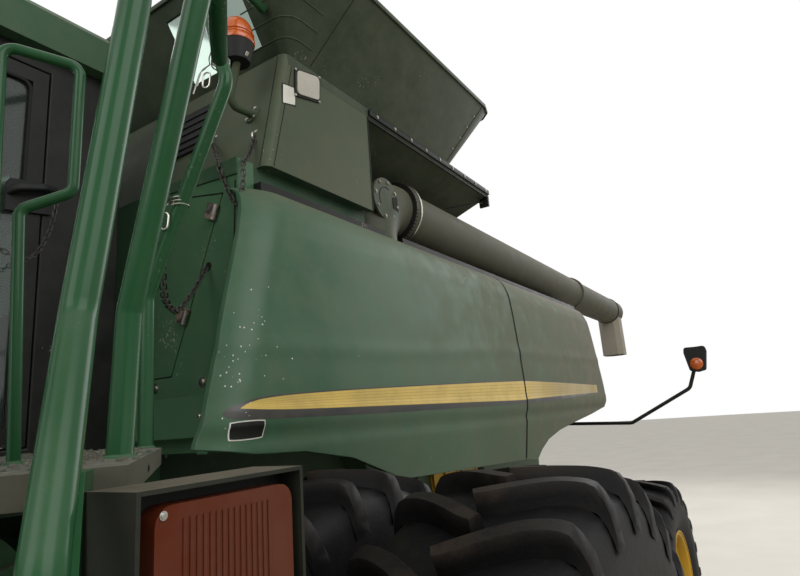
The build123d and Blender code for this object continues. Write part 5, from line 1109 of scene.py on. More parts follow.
@dataclass
class Tyre:
    """Lugged drive tyre: a turned carcass and two rows of long curved bars that interleave.

    A bar runs from past the tread's middle to the shoulder and down the flank.
    Its spine is turn = lead * (1 - (1-t)^1.3), y rising with t, and its section a
    trapezoid with rounded shoulders.
    """

    radius: float
    width: float
    rim: float
    bars: int
    lug: float
    axle: tuple[float, float]  # x, z

    def carcass(self, shape: Shape, middle: float) -> None:
        """Turned body: profile of (radius, across) through bead, flank, shoulder and crown.

        Args:
            shape: shape that takes it.
            middle: y of the tread's middle.
        """
        half, base, top = self.width / 2, self.rim, self.radius - self.lug
        flank = (base + top) / 2
        side = [
            (base, half - 62), (base + 22, half - 44), (base + 50, half - 30), (flank - 60, half - 8),
            (flank, half - 3), (flank + 70, half - 5), (top - 75, half - 12), (top - 36, half - 26),
            (top - 10, half - 58), (top, half * 0.55),
        ]
        profile = [(r, middle + w) for r, w in side] + [(top + 3, middle)] + [(r, middle - w) for r, w in side[::-1]]
        profile += [(base + 14, middle - half + 80), (base + 14, middle + half - 80)]
        shape.turned(profile, (self.axle[0], 0, self.axle[1]), LEFT, 96)

    def treads(self, shape: Shape, middle: float, lead: float) -> None:
        """All bars as one array of (row, bar, station, profile) points in turn, across and radius.

        Args:
            shape: shape that takes them.
            middle: y of the tread's middle.
            lead: how far the flank end trails the middle end, in radians.
        """
        half, top, base = self.width / 2, self.radius, self.radius - self.lug
        t = np.linspace(0, 1, 17)
        across = np.interp(t, (0, 0.8, 0.92, 1), (-0.10, 0.86, 0.975, 1.0)) * half
        crown = through(
            ((0, top), (0.5, top - 4), (0.72, top - 13), (0.82, top - 26), (0.92, top - 74), (1, top - 132)), t
        )
        foot = through(((0, base - 8), (0.6, base - 8), (0.8, base - 22), (0.92, base - 80), (1, base - 120)), t)
        turn = -lead * np.sin(np.clip(t / 0.86, 0, 1) * np.pi / 2) ** 1.15
        sweep_y, sweep_s = np.gradient(across, t), np.gradient(turn * top, t)
        slope = np.arctan2(sweep_s, sweep_y)
        slope = np.where(t > 0.82, slope[13], slope)
        wide = np.interp(t, (0, 0.1, 0.7, 1), (19, 21, 24, 30))
        ring = np.array(
            [(-1.5, 0), (-1.18, 0.5), (-1.06, 0.9), (-0.9, 1.0), (0.9, 1.0), (1.06, 0.9), (1.18, 0.5), (1.5, 0)]
        )
        off = ring[None, :, 0] * wide[:, None]
        lift = foot[:, None] + (crown - foot)[:, None] * ring[None, :, 1]
        nose = np.interp(t, (0, 0.06, 1), (0.86, 1.0, 1.0))[:, None]
        angle = turn[:, None] + off * np.cos(slope)[:, None] * nose / top
        place_y = across[:, None] - off * np.sin(slope)[:, None] * 0.9 * (t < 0.9)[:, None]
        pitch = 2 * np.pi / self.bars
        fading = np.interp(t, (0, 0.12, 0.4, 0.9, 1), (1, 0.8, 0.35, 0.2, 0.15))
        soil = np.interp(ring[:, 1], (0.6, 0.98), (0.12, 1))[None] * fading[:, None]
        centre = row((self.axle[0], 0, self.axle[1]))
        n, m = lift.shape
        start_at = (np.arange(self.bars) * n * m)[:, None, None]
        walls = (quads(n, m, False, True)[None] + start_at).reshape(-1, 4)
        cap = np.arange(m)[None]
        caps = (np.concatenate([cap, cap[:, ::-1] + (n - 1) * m])[None] + start_at).reshape(-1, m)
        for flip, start in ((1, 0.0), (-1, 0.5)):
            full = (np.arange(self.bars) + start)[:, None, None] * pitch + angle
            x, z = centre[0] + lift / 1000 * np.sin(full), centre[2] + lift / 1000 * np.cos(full)
            y = np.broadcast_to((middle + flip * place_y) / 1000, x.shape)
            shape.add(np.stack([x, y, z], axis=-1), walls, caps, tag=np.broadcast_to(soil, x.shape))

    def build(self, name: str, cad: str, middles: Sequence[float], lead: float) -> None:
        """Make the tyre or the pair of tyres of one node.

        Args:
            name: the piece's name.
            cad: node that it replaces.
            middles: y of each tread's middle.
            lead: how far the flank ends trail, in radians.
        """
        shape = Shape()
        for middle in middles:
            self.carcass(shape, middle)
            self.treads(shape, middle, lead)
        piece(name, shape, [RUBBER], cad, [cad], sharp=38)


@dataclass
class Wheels:
    """Front duals on yellow rims and the steered rear wheels."""

    front: Tyre = field(default_factory=lambda: Tyre(975, 556, 533, 25, 60, (0, 977)))
    rear: Tyre = field(default_factory=lambda: Tyre(730, 536, 330, 20, 46, (-3560, 732)))
    inner: float = 1585.0
    spacing: float = 762.0
    rear_middle: float = 1915.0

    def rim(
        self, shape: Shape, tyre: Tyre, middle: float, half: float, disc: float, s: float, nuts: tuple[int, float]
    ) -> None:
        """Turned rim with its dished disc: flange, bead seat and drop centre, then the disc's ring of nuts.

        Args:
            shape: shape that takes it.
            tyre: tyre that it fills.
            middle: distance of the tread's middle from the machine's.
            half: half the rim's width.
            disc: distance of the disc's outer face from the machine's middle.
            s: 1 on the left, -1 on the right.
            nuts: number of nuts and radius of their circle.
        """
        x, z = tyre.axle
        r, m, d = tyre.rim - 1, s * middle, s * disc
        flange = [(r + 24, 0), (r + 26, 6), (r + 4, 12), (r - 1, 20), (r - 1, 75), (r - 34, 110)]
        section = [(a, b - half) for a, b in flange] + [(a, half - b) for a, b in flange[::-1]]
        section += [(a - 12, b) for a, b in section[::-1]]
        shape.turned([(a, m + b) for a, b in section], (x, 0, z), LEFT, 72)
        dish = (
            (r - 36, 6), (0.82 * r, 6), (0.70 * r, 26), (0.52 * r, 30), (0.46 * r, 8), (0.30 * r, 2), (0, 2),
            (0, -14), (0.46 * r, -10), (0.52 * r, 12), (0.70 * r, 8), (0.82 * r, -12), (r - 36, -12),
        )
        shape.turned([(a, d + s * b) for a, b in dish], (x, 0, z), LEFT, 72, ring=False)
        spots = row([(x + b, d + s * 4, z + a) for a, b in ring_of(*nuts)])
        shape.scatter(bolt_head(0.0165, 0.026), spots, AHEAD, (0, s, 0), mark=1)

    def hub(self, shape: Shape, tyre: Tyre, profile: Sequence, out: float, s: float, sides: int, ring: bool) -> None:
        """Part turned about the axle: profile of (radius, along) in millimetres, along measured from out."""
        at = (tyre.axle[0], 0, tyre.axle[1])
        shape.turned([(a, s * (b + out)) for a, b in profile], at, LEFT, sides, ring=ring)

    def build(self) -> None:
        """Make all tyres and rims."""
        drum = ((267, 18), (267, 576), (253, 576), (253, 18))
        cap = ((0, 600), (150, 600), (160, 608), (160, 648), (120, 658), (0, 658))
        rear_cap = ((0, 0), (95, 0), (100, 8), (98, 58), (70, 70), (0, 70))
        for side, s in SIDES:
            pair, disc = (self.inner, self.inner + self.spacing), self.inner + 90
            self.front.build(f"{side}_front_treads", f"{side}_front_tyres", [s * middle for middle in pair], 0.13)
            shape = Shape()
            for middle, out in zip(pair, (disc, disc + 582)):
                self.rim(shape, self.front, middle, 250, out, s, (10, 180))
            self.hub(shape, self.front, drum, disc, s, 64, True)
            self.hub(shape, self.front, cap, disc, s, 48, False)
            rims = f"{side}_front_rims"
            piece(f"{side}_front_rim_pair", shape, [YELLOW, ZINC], rims, [rims])
            self.rear.build(f"{side}_rear_tread", f"{side}_rear_tyre", [s * self.rear_middle], -0.18)
            shape = Shape()
            self.rim(shape, self.rear, self.rear_middle, 240, 1893, s, (8, 138))
            self.hub(shape, self.rear, rear_cap, 1892, s, 48, False)
            rim = f"{side}_rear_rim"
            piece(f"{rim}_dressed", shape, [YELLOW, ZINC], rim, [rim])


@dataclass
class Studio:
    """Pale floor, even light and the photograph's viewpoint."""

    eye: tuple[float, float, float] = (1598.8, 3000.7, 2115.6)
    yaw: float = 32.08
    pitch: float = 12.55
    roll: float = -4.27
    focal_px: float = 574.5
    picture: tuple[int, int] = (800, 576)
    floor_hex: str = "dcd6cb"

    def stand(self, name: str, data: bpy.types.ID, axes: Sequence, at: Sequence) -> bpy.types.Object:
        """Link a camera or lamp.

        Args:
            name: the object's name.
            data: its camera or lamp.
            axes: directions of its x, y and z.
            at: its place, in metres.

        Returns:
            The new object.
        """
        made = bpy.data.objects.new(name, data)
        turn = np.eye(4)
        turn[:3, :3], turn[:3, 3] = np.stack(axes, axis=1), at
        made.matrix_world = Matrix(turn.tolist())
        bpy.context.scene.collection.objects.link(made)
        return made

    def camera(self) -> None:
        """Camera whose axes are right = (-sin yaw, cos yaw, 0) and its up, turned by the roll about the view."""
        yaw, pitch, roll = (math.radians(a) for a in (self.yaw, self.pitch, self.roll))
        ahead = np.array([-math.cos(yaw) * math.cos(pitch), -math.sin(yaw) * math.cos(pitch), math.sin(pitch)])
        level = np.array([-math.sin(yaw), math.cos(yaw), 0.0])
        upright = np.cross(level, ahead)
        right = math.cos(roll) * level + math.sin(roll) * upright
        over = math.cos(roll) * upright - math.sin(roll) * level
        lens = bpy.data.cameras.new("viewpoint")
        lens.sensor_fit = "HORIZONTAL"
        lens.sensor_width = 36.0
        lens.lens = self.focal_px * lens.sensor_width / self.picture[0]
        lens.clip_start = 0.02
        bpy.context.scene.camera = self.stand("viewpoint", lens, (right, over, -ahead), row(self.eye))

    def floor(self) -> None:
        """Floor disc, a little uneven in tone like swept concrete."""
        shape = Shape().lathe([(0, -0.05), (60, -0.05), (60, 0), (0, 0)], (0, 0, 0), UP, 64, ring=False)
        mesh = bpy.data.meshes.new("floor")
        mesh.from_pydata(np.concatenate(shape.points).tolist(), [], shape.faces)
        surface = bpy.data.materials.new("swept_concrete")
        surface.use_nodes = True
        surface.node_tree.nodes.clear()
        add = partial(node, surface.node_tree)
        cloud = add("TexNoise", {"Vector": add("TexCoord", output="Object"), "Scale": 1000 / 900, "Detail": 8.0})
        mixed = add("Mix", {0: cloud, 6: self.floor_hex, 7: "c9c2b6"}, **RGBA)
        lift = add("Math", {0: add("LightPath", output="Is Camera Ray"), 1: 0.2}, operation="MULTIPLY")
        sockets = {"Base Color": mixed, "Roughness": 0.8, "Emission Color": mixed, "Emission Strength": lift}
        add("OutputMaterial", {"Surface": add("BsdfPrincipled", sockets)})
        mesh.materials.append(surface)
        made = bpy.data.objects.new("floor", mesh)
        bpy.context.scene.collection.objects.link(made)

    def light(self) -> None:
        """Soft overcast world, white to the eye and in mirrors and glass, with broad lamps that shape the sides."""
        world = bpy.data.worlds.new("overcast")
        bpy.context.scene.world = world
        world.use_nodes = True
        world.node_tree.nodes.clear()
        add = partial(node, world.node_tree)
        seen = add("LightPath", output="Is Camera Ray")
        for ray in ("Is Glossy Ray", "Is Transmission Ray"):
            seen = add("Math", {0: seen, 1: add("LightPath", output=ray)}, operation="MAXIMUM")
        soft = add("Background", {"Color": "dfe3e6", "Strength": 0.55})
        white = add("Background", {"Color": "ffffff", "Strength": 1.0})
        add("OutputWorld", {"Surface": add("MixShader", {0: seen, 1: soft, 2: white})})
        for name, at, aim, size, power in (
            ("sky_left", (3.0, 9.0, 7.5), (-0.5, 1.5, 2.0), 7.0, 520.0),
            ("sky_front", (11.0, 2.0, 6.5), (1.0, 0.5, 2.0), 6.0, 330.0),
            ("sky_right", (-3.0, -9.0, 8.0), (-0.5, 0.0, 2.0), 7.0, 360.0),
            ("sky_rear", (-11.0, 3.0, 7.0), (-1.0, 0.5, 2.0), 6.0, 300.0),
        ):
            lamp = bpy.data.lights.new(name, "AREA")
            lamp.size = size
            lamp.energy = power
            back = unit(np.subtract(at, aim))
            right = unit(np.cross(UP, back))
            self.stand(name, lamp, (right, np.cross(back, right), back), at)

    def build(self) -> None:
        """Set the camera, the floor, the lamps and the view."""
        self.camera()
        self.floor()
        self.light()
        bpy.context.scene.view_settings.view_transform = "Standard"


def bolts(
    shape: Shape,
    spots: Sequence,
    facing: Sequence,
    radius: float = 9.0,
    height: float = 7.0,
    mark: int = 0,
    sides: int = 6,
) -> None:
    """Bolt heads at tabled spots.

    Args:
        shape: shape that takes them.
        spots: seats in millimetres.
        facing: direction that the heads face.
        radius: half the head's width in millimetres.
        height: the head's height in millimetres.
        mark: number of the finish.
        sides: 6 for a hexagon, more for a button.
    """
    across = UP if abs(facing[2]) < 0.9 else AHEAD
    shape.scatter(bolt_head(radius / 1000, height / 1000, sides), row(spots), across, facing, mark)


def strip(
    shape: Shape, points: Sequence, width: float, depth: float, up: Sequence, mark: int = 0, corner: float = 12.0
) -> None:
    """Flat bar, seal or seam along tabled points: its rounded section is carried along the bent path.

    Args:
        shape: shape that takes it.
        points: corners in millimetres.
        width: size across, in millimetres.
        depth: size along up, in millimetres.
        up: direction that the bar's flat faces at the start.
        mark: number of the finish.
        corner: radius of the path's bends.
    """
    path = row(bent(points, corner, 5)) if len(points) > 2 else row(points)
    shape.sweep(path, rounded(width / 1000, depth / 1000, min(width, depth) * 0.3 / 1000, 3), mark, up=up)


def link(length: float, width: float, wire: float) -> Shape:
    """Chain link about the origin, long along x, in millimetres: round wire round two half circles and straights."""
    turn = np.linspace(-np.pi / 2, np.pi / 2, 7)
    end = np.stack([(length - width) / 2 + width / 2 * np.cos(turn), width / 2 * np.sin(turn), 0 * turn], axis=1)
    return Shape().tube(np.concatenate([end, end * (-1, -1, 1)]) / 1000, wire / 2000, 7, ring=True)


def chain(shape: Shape, knots: Sequence, pitch: float = 23.0, wire: float = 5.0, mark: int = 0) -> None:
    """Link chain along tabled knots: links stand a pitch apart, each turned a quarter from the last.

    Args:
        shape: shape that takes it.
        knots: points that the chain passes, in millimetres.
        pitch: distance between links.
        wire: thickness of the link's wire.
        mark: number of the finish.
    """
    path = bent(knots, 400, 9)
    run = np.linalg.norm(np.diff(path, axis=0), axis=1).sum()
    spots = along(path, int(run / pitch) + 1)
    ahead = unit(np.gradient(spots, axis=0))
    across = unit(np.cross(ahead, (0.31, 0.22, 0.93)))
    turned = np.where((np.arange(len(spots)) % 2 == 0)[:, None], across, np.cross(ahead, across))
    shape.scatter(link(pitch + 2.2 * wire, 3.7 * wire, wire), row(spots), ahead, turned, mark)


@dataclass
class FrontWall:
    """Wall beside the cab, the cover boxes above it and what is fixed to them.

    The cover panel leans back: x = foot - lean * (z - low).
    """

    foot: float = 85.0
    low: float = 3120.0
    lean: float = 125 / 570
    half: float = 1475.0
    face: float = 200.0
    eyes: tuple = ((1378, 3288), (1112, 3362))  # y, z
    blank: tuple = (((-14, 3431), (-100, 3451)), ((-18, 3531), (-104, 3545)))  # x, z of the white plate's corners
    lamp: tuple = ((-102, 3632), (-258, 3670), (-250, 3543), (-96, 3507))  # x, z of the side lamp's corners

    def panel(self, y: float, z: float, proud: float = 0.0) -> tuple[float, float, float]:
        """Spot on the leaning panel, raised off it."""
        return (self.foot - self.lean * (z - self.low) + proud, y, z)

    def paint(self, at: np.ndarray, normals: np.ndarray) -> np.ndarray:
        """Finish numbers: 0 wall, 1 cover boxes, 2 black hatches and beacon base, 3 the ledge's band, darkened as
        painted shade.
        """
        x, y, z = at.T
        proud = x - (self.foot - self.lean * (z - self.low))
        hatch = (proud > 3) & (np.abs(y) < 1085) & (np.abs(y) > 640) & (z > 3330) & (z < 3615)
        beacon = (np.abs(x - 160) < 80) & (np.abs(y - 1400) < 90) & (z > 3558)
        # The ledge's band takes the darker green: painted shade on the folded ledge.
        band = (z > 3034) & (z < self.low + 1)
        return np.select([hatch | beacon, band, z > self.low], [2, 3, 1], 0)

    def build(self) -> None:
        """Dress the wall, the door and their trim."""
        softened("front_wall", [WALL_GREEN, BOX_GREEN, MOULDED, LEDGE_SHADE_GREEN], self.paint, bevel=5.0)
        softened("service_door", [WALL_GREEN, STEEL], lambda at, normals: (at[:, 0] > 201).astype(int), bevel=3.0)
        self.boxes()
        self.door()
        self.lamps()

    def boxes(self) -> None:
        """Seams, flange bolts, chain eyes, screws and the blank white plate of the boxes."""
        shape = Shape()
        for _, s in SIDES:
            seam = [self.panel(s * (self.half - 38), z, 0.4) for z in (self.low + 6, 3400, 3682)]
            strip(shape, seam, 4, 1.6, AHEAD)
            y = s * (self.half + 0.2)
            strip(shape, [(self.foot - 42, y, self.low + 5), (-82, y, 3636)], 4, 1.6, (0, s, 0))
            bolts(shape, [self.panel(s * y, 3590, 13) for y in (670, 1050)], (1, 0, 0.2), 4, 3, 1, 12)
        ring = [(1335 + a, 3414 + b) for a, b in ring_of(4, 30, math.pi / 4)]
        bolts(shape, [self.panel(*at, 8) for at in ring], (1, 0, 0.22), 6, 5, 1)
        shape.scatter(link(34, 24, 6), row([self.panel(*at, 4) for at in self.eyes]), (0, 0.2, 1), LEFT, 1)
        bolts(shape, [self.panel(y, z + 22) for y, z in self.eyes], (1, 0, 0.22), 7, 5, 1)
        corners = np.array(self.blank, float)
        inward = np.sign(corners.mean(axis=(0, 1)) - corners)
        for shrink, lift, mark in ((0, 0.8, 2), (6, 1.3, 3)):
            grid = row(np.insert(corners + shrink * inward, 1, self.half + lift, axis=-1))
            shape.slab(grid, np.array([0, -0.001, 0]), mark)
        strip(shape, [(-640, self.half + 1, z) for z in (3125, 3634)], 8, 3, LEFT)
        piece("box_trim", shape, [SEAL, ZINC, BLACK, WHITE_PLATE], "front_wall")

    def door(self) -> None:
        """The service door's seal, its latch recess and holes drawn as black plates and discs for painted shade, and
        the wall's bolts, seam, bracket and ledge bands in the ledge's painted-shade green.
        """
        shape = Shape()
        grown = [(902, 3082), (1357, 2998), (1060, 2326), (902, 2326)]
        strip(shape, [(self.face - 6, y, z) for y, z in grown], 9, 9, AHEAD, 0, 30)
        # The latch recess is a black plate at the door's face: painted shade for its depth.
        latch_recess_shade = np.array([(0, 0), (52, 0), (52, 96), (0, 96)]) / 1000
        shape.prism(latch_recess_shade, row((self.face + 1.2, 925, 2794)), LEFT, UP, -0.004)
        bolts(shape, [(self.face + 1.4, 951, 2838)], AHEAD, 14, 16, 1, 16)
        # The holes are black discs on the face: painted shade for the dark inside them.
        for (y, z), radius in (((1277, 2724), 15), ((951, 2875), 6)):
            hole_shade = ((0, 0), (radius, 0), (radius, 1.4), (0, 1.4))
            shape.turned(hole_shade, (self.face, y, z), AHEAD, 24, ring=False)
        piece("service_door_trim", shape, [BLACK, ZINC], "service_door")
        shape = Shape()
        bolts(shape, [(self.face + 0.5, y, 2290) for y in (700, 960, 1240)], AHEAD, 13, 6, 0, 20)
        bolts(shape, [(291, y, 2165) for y in (950, 1340)], AHEAD, 8, 6)
        strip(shape, [(self.face + 1, 1405, 2400), (self.face + 1, 1428, 3030)], 7, 3, AHEAD, 1)
        shape.block((205, 1328, 2040), (292, 1383, 2098), 2)
        for _, s in SIDES:
            # Ledge bands in the darker green: painted shade on the folded ledge.
            ledge = np.array([(900, 3092), (1441, 3052), (1441, 3121), (900, 3121)]) / 1000
            shape.prism(ledge * (s, 1), row((self.face, 0, 0)), LEFT, UP, 0.007, 3)
        piece("wall_trim", shape, [ZINC, SEAL, WALL_GREEN, LEDGE_SHADE_GREEN], "front_wall")

    def lamps(self) -> None:
        """Work lamps: six cased ones under the roof's edge and a tilted lens with its thin frame in each cover box."""
        shape = Shape()
        corners = np.array(self.lamp, float)
        middle = corners.mean(axis=0)
        for _, s in SIDES:
            for grow, low, high, mark in ((1.10, 0.0, 7.0, 0), (0.94, 6.0, 13.0, 1)):
                loop = middle + (corners - middle) * grow
                start = (loop[0] + loop[3]) / 2
                outline = bent([start, *loop, start], 22)[:-1]
                origin = row((0, s * (self.half + low), 0))
                shape.prism(outline / 1000, origin, AHEAD, UP, -s * (high - low) / 1000, mark)
            screws = middle + (corners - middle) * 1.02
            bolts(shape, [(x, s * (self.half + 7), z) for x, z in screws], (0, s, 0), 4, 4, 2, 10)
        for y in ROOF_LAMPS:
            shell = rounded(0.118, 0.088, 0.014)
            shape.prism(shell, row((2096, y, 3515)), LEFT, UP, 0.074)
            shape.prism(rounded(0.098, 0.068, 0.010), row((2168, y, 3515)), LEFT, UP, 0.012, 1)
            for off in (-30, -10, 10, 30):
                strip(shape, [(2181, y + off, 3486), (2181, y + off, 3544)], 4, 3, AHEAD, 1)
        piece("work_lamp_glasses", shape, [MOULDED, CLEAR, ZINC], "work_lamps", ["work_lamps"], bevel=1.5)


@dataclass
class Chains:
    """Link chains that hang from the boxes and rails, and the wire twists on the bent rail."""

    hung: tuple = (
        (
            (56, 1380, 3272), (120, 1417, 3165), (205, 1475, 3085), (212, 1487, 3015), (216, 1462, 2905),
            (217, 1415, 2965), (216, 1362, 3080), (214, 1345, 3130), (150, 1259, 3218), (54, 1114, 3346),
        ),
        ((668, 1660, 2575), (560, 1520, 2500), (430, 1400, 2492), (310, 1330, 2600), (210, 1277, 2720)),
    )
    door: tuple = (
        (604, 950, 2962), (618, 962, 2880), (637, 960, 2803), (666, 960, 2743), (700, 960, 2716), (770, 950, 2740),
        (812, 940, 2800),
    )

    def build(self) -> None:
        """Make the chains and twists: one piece on the platform's body, and the door's chain on the door's."""
        shape = Shape()
        for knots in self.hung:
            chain(shape, knots)
        gate = Shape()
        chain(gate, self.door, 16, 3.6)
        piece("door_chain", gate, [CHAIN_STEEL], "cab_door")
        for x, y, z in ((668, 1735, 2720), (640, 1868, 3100)):
            turn = np.linspace(0, 5 * np.pi, 40)
            coil = np.stack([x + 24 * np.cos(turn), y + 24 * np.sin(turn), z + 5 * turn / np.pi - 10], axis=1)
            shape.tube(row(coil), 0.0022, 7, 1)
            for lean_y, drop in ((-34, -60), (-50, -78), (26, 22)):
                steps = ((20, 0, 0), (34, lean_y * 0.5, drop * 0.3), (36, lean_y, drop))
                tail = [(x + a, y - 20 + b, z + c) for a, b, c in steps]
                shape.tube(row(bent(tail, 20)), 0.0018, 6, 1)
            shape.scatter(link(46, 22, 5), row([(x + 30, y - 22, z - 52)]), (0, 0.1, 1), (1, 0.3, 0), 1)
        piece("hung_chains", shape, [CHAIN_STEEL, ZINC], "platform")


@dataclass
class TankTrim:
    """Folds of the tank extension: corner ribs, panel seams, a stiffened top edge, and the tank's channel rail.

    A spot on the flare at height z lies at x = front + slope * (z - 3690) ahead and
    y = 1475 + slope * (z - 3690) to the side, its corner rounded from 50 to 160.
    """

    front: float = -60.0
    rear: float = -1582.0
    half: float = 1475.0
    base: float = 3690.0
    top: float = 4070.0
    slope: float = 245 / 380
    cable: tuple = (
        (-2110, 1440, 3600), (-2060, 1450, 3560), (-2000, 1440, 3580), (-1940, 1420, 3540), (-1800, 1300, 3500)
    )

    def corner(self, z: float, back: float, across: float, sign: float, end: float, proud: float) -> np.ndarray:
        """Path round one corner of the flare at a height: a straight, a quarter circle and a straight.

        Args:
            z: height.
            back: how far it runs along the side.
            across: how far it runs along the end.
            sign: 1 on the left, -1 on the right.
            end: 1 at the front, -1 at the rear.
            proud: distance off the sheet.
        """
        out = self.slope * (z - self.base) + proud
        radius = 50 + 110 * (z - self.base) / (self.top - self.base) + proud
        x = (self.front if end > 0 else self.rear) + end * out
        y = self.half + out
        turn = np.linspace(0, np.pi / 2, 4)
        arc = np.stack([x - end * radius + end * radius * np.sin(turn), y - radius + radius * np.cos(turn)], axis=1)
        path = np.concatenate([[(x - end * (radius + back), y)], arc, [(x, y - radius - across)]])
        return np.stack([path[:, 0], sign * path[:, 1], np.full(len(path), z)], axis=1)

    def build(self) -> None:
        """Dress the tank and its extension and add their trim."""
        # Tank and extension in the darker green: painted shade.
        softened("grain_tank", [TANK_SHADE_GREEN], bevel=3.0)
        softened("tank_extension", [TANK_SHADE_GREEN], bevel=2.0)
        ribs, seams = Shape(), Shape()
        for _, s in SIDES:
            for k, z in enumerate((3752, 3818, 3884, 3950, 4016)):
                ribs.tube(row(self.corner(z, 90 + 14 * k, 150 + 12 * k, s, 1, 0.0)), 0.003, 8)
            for end, x_low, x_high in ((1, -200, -305), (-1, -1512, -1640)):
                line = [
                    (x_low, s * (self.half + 6), self.base + 8),
                    (x_high, s * (self.half + self.slope * 360 + 1), self.base + 360),
                ]
                strip(seams, line, 3.5, 2, (0, s, -0.6))
                if end < 0:
                    spots = np.linspace(line[0], line[1], 6)[1:-1] + (22, s * 0.5, 0)
                    bolts(seams, spots, (0, s, -0.64), 4, 3, 1, 12)
        rim = np.concatenate([self.corner(4066, 740, 1500, 1, 1, 1), self.corner(4066, 740, 1500, -1, 1, 1)[::-1]])
        back = np.concatenate([self.corner(4066, 740, 1500, -1, -1, 1), self.corner(4066, 740, 1500, 1, -1, 1)[::-1]])
        ribs.sweep(row(np.concatenate([rim, back])), rounded(0.008, 0.026, 0.003, 3), ring=True)
        # Ribs in the tank's painted-shade green.
        piece("extension_ribs", ribs, [TANK_SHADE_GREEN], "tank_extension", sharp=50)
        piece("extension_seams", seams, [SEAL, ZINC], "tank_extension")
        rail = Shape()
        for _, s in SIDES:
            strip(rail, [(-650, s * 1482, 3664), (-2140, s * 1482, 3664)], 34, 10, (0, s, 0))
            strip(rail, [(-650, s * 1470, 3632), (-2140, s * 1470, 3632)], 16, 10, (0, s, 0))
            bolts(rail, [(x, s * 1487, 3664) for x in np.linspace(-720, -2080, 9)], (0, s, 0), 7, 5, 1)
            rail.block((-2140, s * 1410, 3560), (-2120, s * 1480, 3640))
            rail.tube(row(bent(np.array(self.cable) * (1, s, 1), 50)), 0.005, 8, 2)
        piece("tank_rail", rail, [BLACK, ZINC, SEAL], "grain_tank")


@dataclass
class Auger:
    """Unloading auger: elbow plate with its bolts, rubber ring, clamp rings, joint ring and the spout's rim."""

    y: float = 1292.0
    z: float = 3270.0
    radius: float = 160.0
    flange: float = -1116.0
    elbow: tuple = (-803.0, 3235.0)  # x, z of the elbow plate's middle
    plate: float = 1454.5
    rings: tuple = (  # x, width, height over the tube, finish
        (-1098, 26, 26, 0), (-1128, 12, 33, 1), (-1150, 8, 8, 0),
        (-4512, 10, 12, 0), (-4560, 16, 10, 0), (-6180, 12, 6, 0),
    )
    rim: tuple = (-6460, -6170)

    def ring(self, shape: Shape, x: float, width: float, proud: float, mark: int) -> None:
        """Turned band round the tube."""
        r, hidden = self.radius + proud, self.radius - 6
        profile = [(hidden, 0), (r, 0), (r + 2, 3), (r + 2, width - 3), (r, width), (hidden, width)]
        shape.turned(profile, (x, self.y, self.z), AHEAD, 56, mark)

    def build(self) -> None:
        """Dress the tube and add its rings and bolts."""
        softened("unloading_auger", [TUBE_GREEN, SPOUT_GREY, TANK_SHADE_GREEN], self.paint, bevel=2.0)
        shape = Shape()
        for band in self.rings:
            self.ring(shape, *band)
        bolts(shape, [(self.flange, self.y + a, self.z + b) for a, b in ring_of(16, 178)], (-1, 0, 0), 8, 7, 2)
        x, z = self.elbow
        bolts(shape, [(x + a, self.plate, z + b) for a, b in ring_of(8, 98, 0.2)], LEFT, 8, 5, 2)
        turn = np.linspace(-0.6, 2.0, 14)
        groove = [(x + 66 * math.cos(a), self.plate + 0.1, z + 66 * math.sin(a)) for a in turn]
        shape.sweep(row(groove), rounded(0.005, 0.0016, 0.0005, 2), up=LEFT)
        cut = np.array([(0, 0), (46, 6), (50, 70), (8, 84)]) / 1000
        shape.prism(cut, row((-908, 1455.6, 3190)), AHEAD, UP, -0.002)
        for x in self.rim:
            strip(shape, [(x, 1222, 2694), (x, 1362, 2694)], 10, 12, AHEAD, 3)
        piece("auger_trim", shape, [SEAL, ZINC, STEEL, SPOUT_GREY], "unloading_auger")

    def paint(self, at: np.ndarray, normals: np.ndarray) -> np.ndarray:
        """Finish numbers: 0 tube, 1 spout and end section, 2 elbow plate."""
        plate = (at[:, 1] > 1452) & (np.abs(at[:, 0] - self.elbow[0]) < 125)
        return np.select([at[:, 0] < -6150, plate], [1, 2], 0)


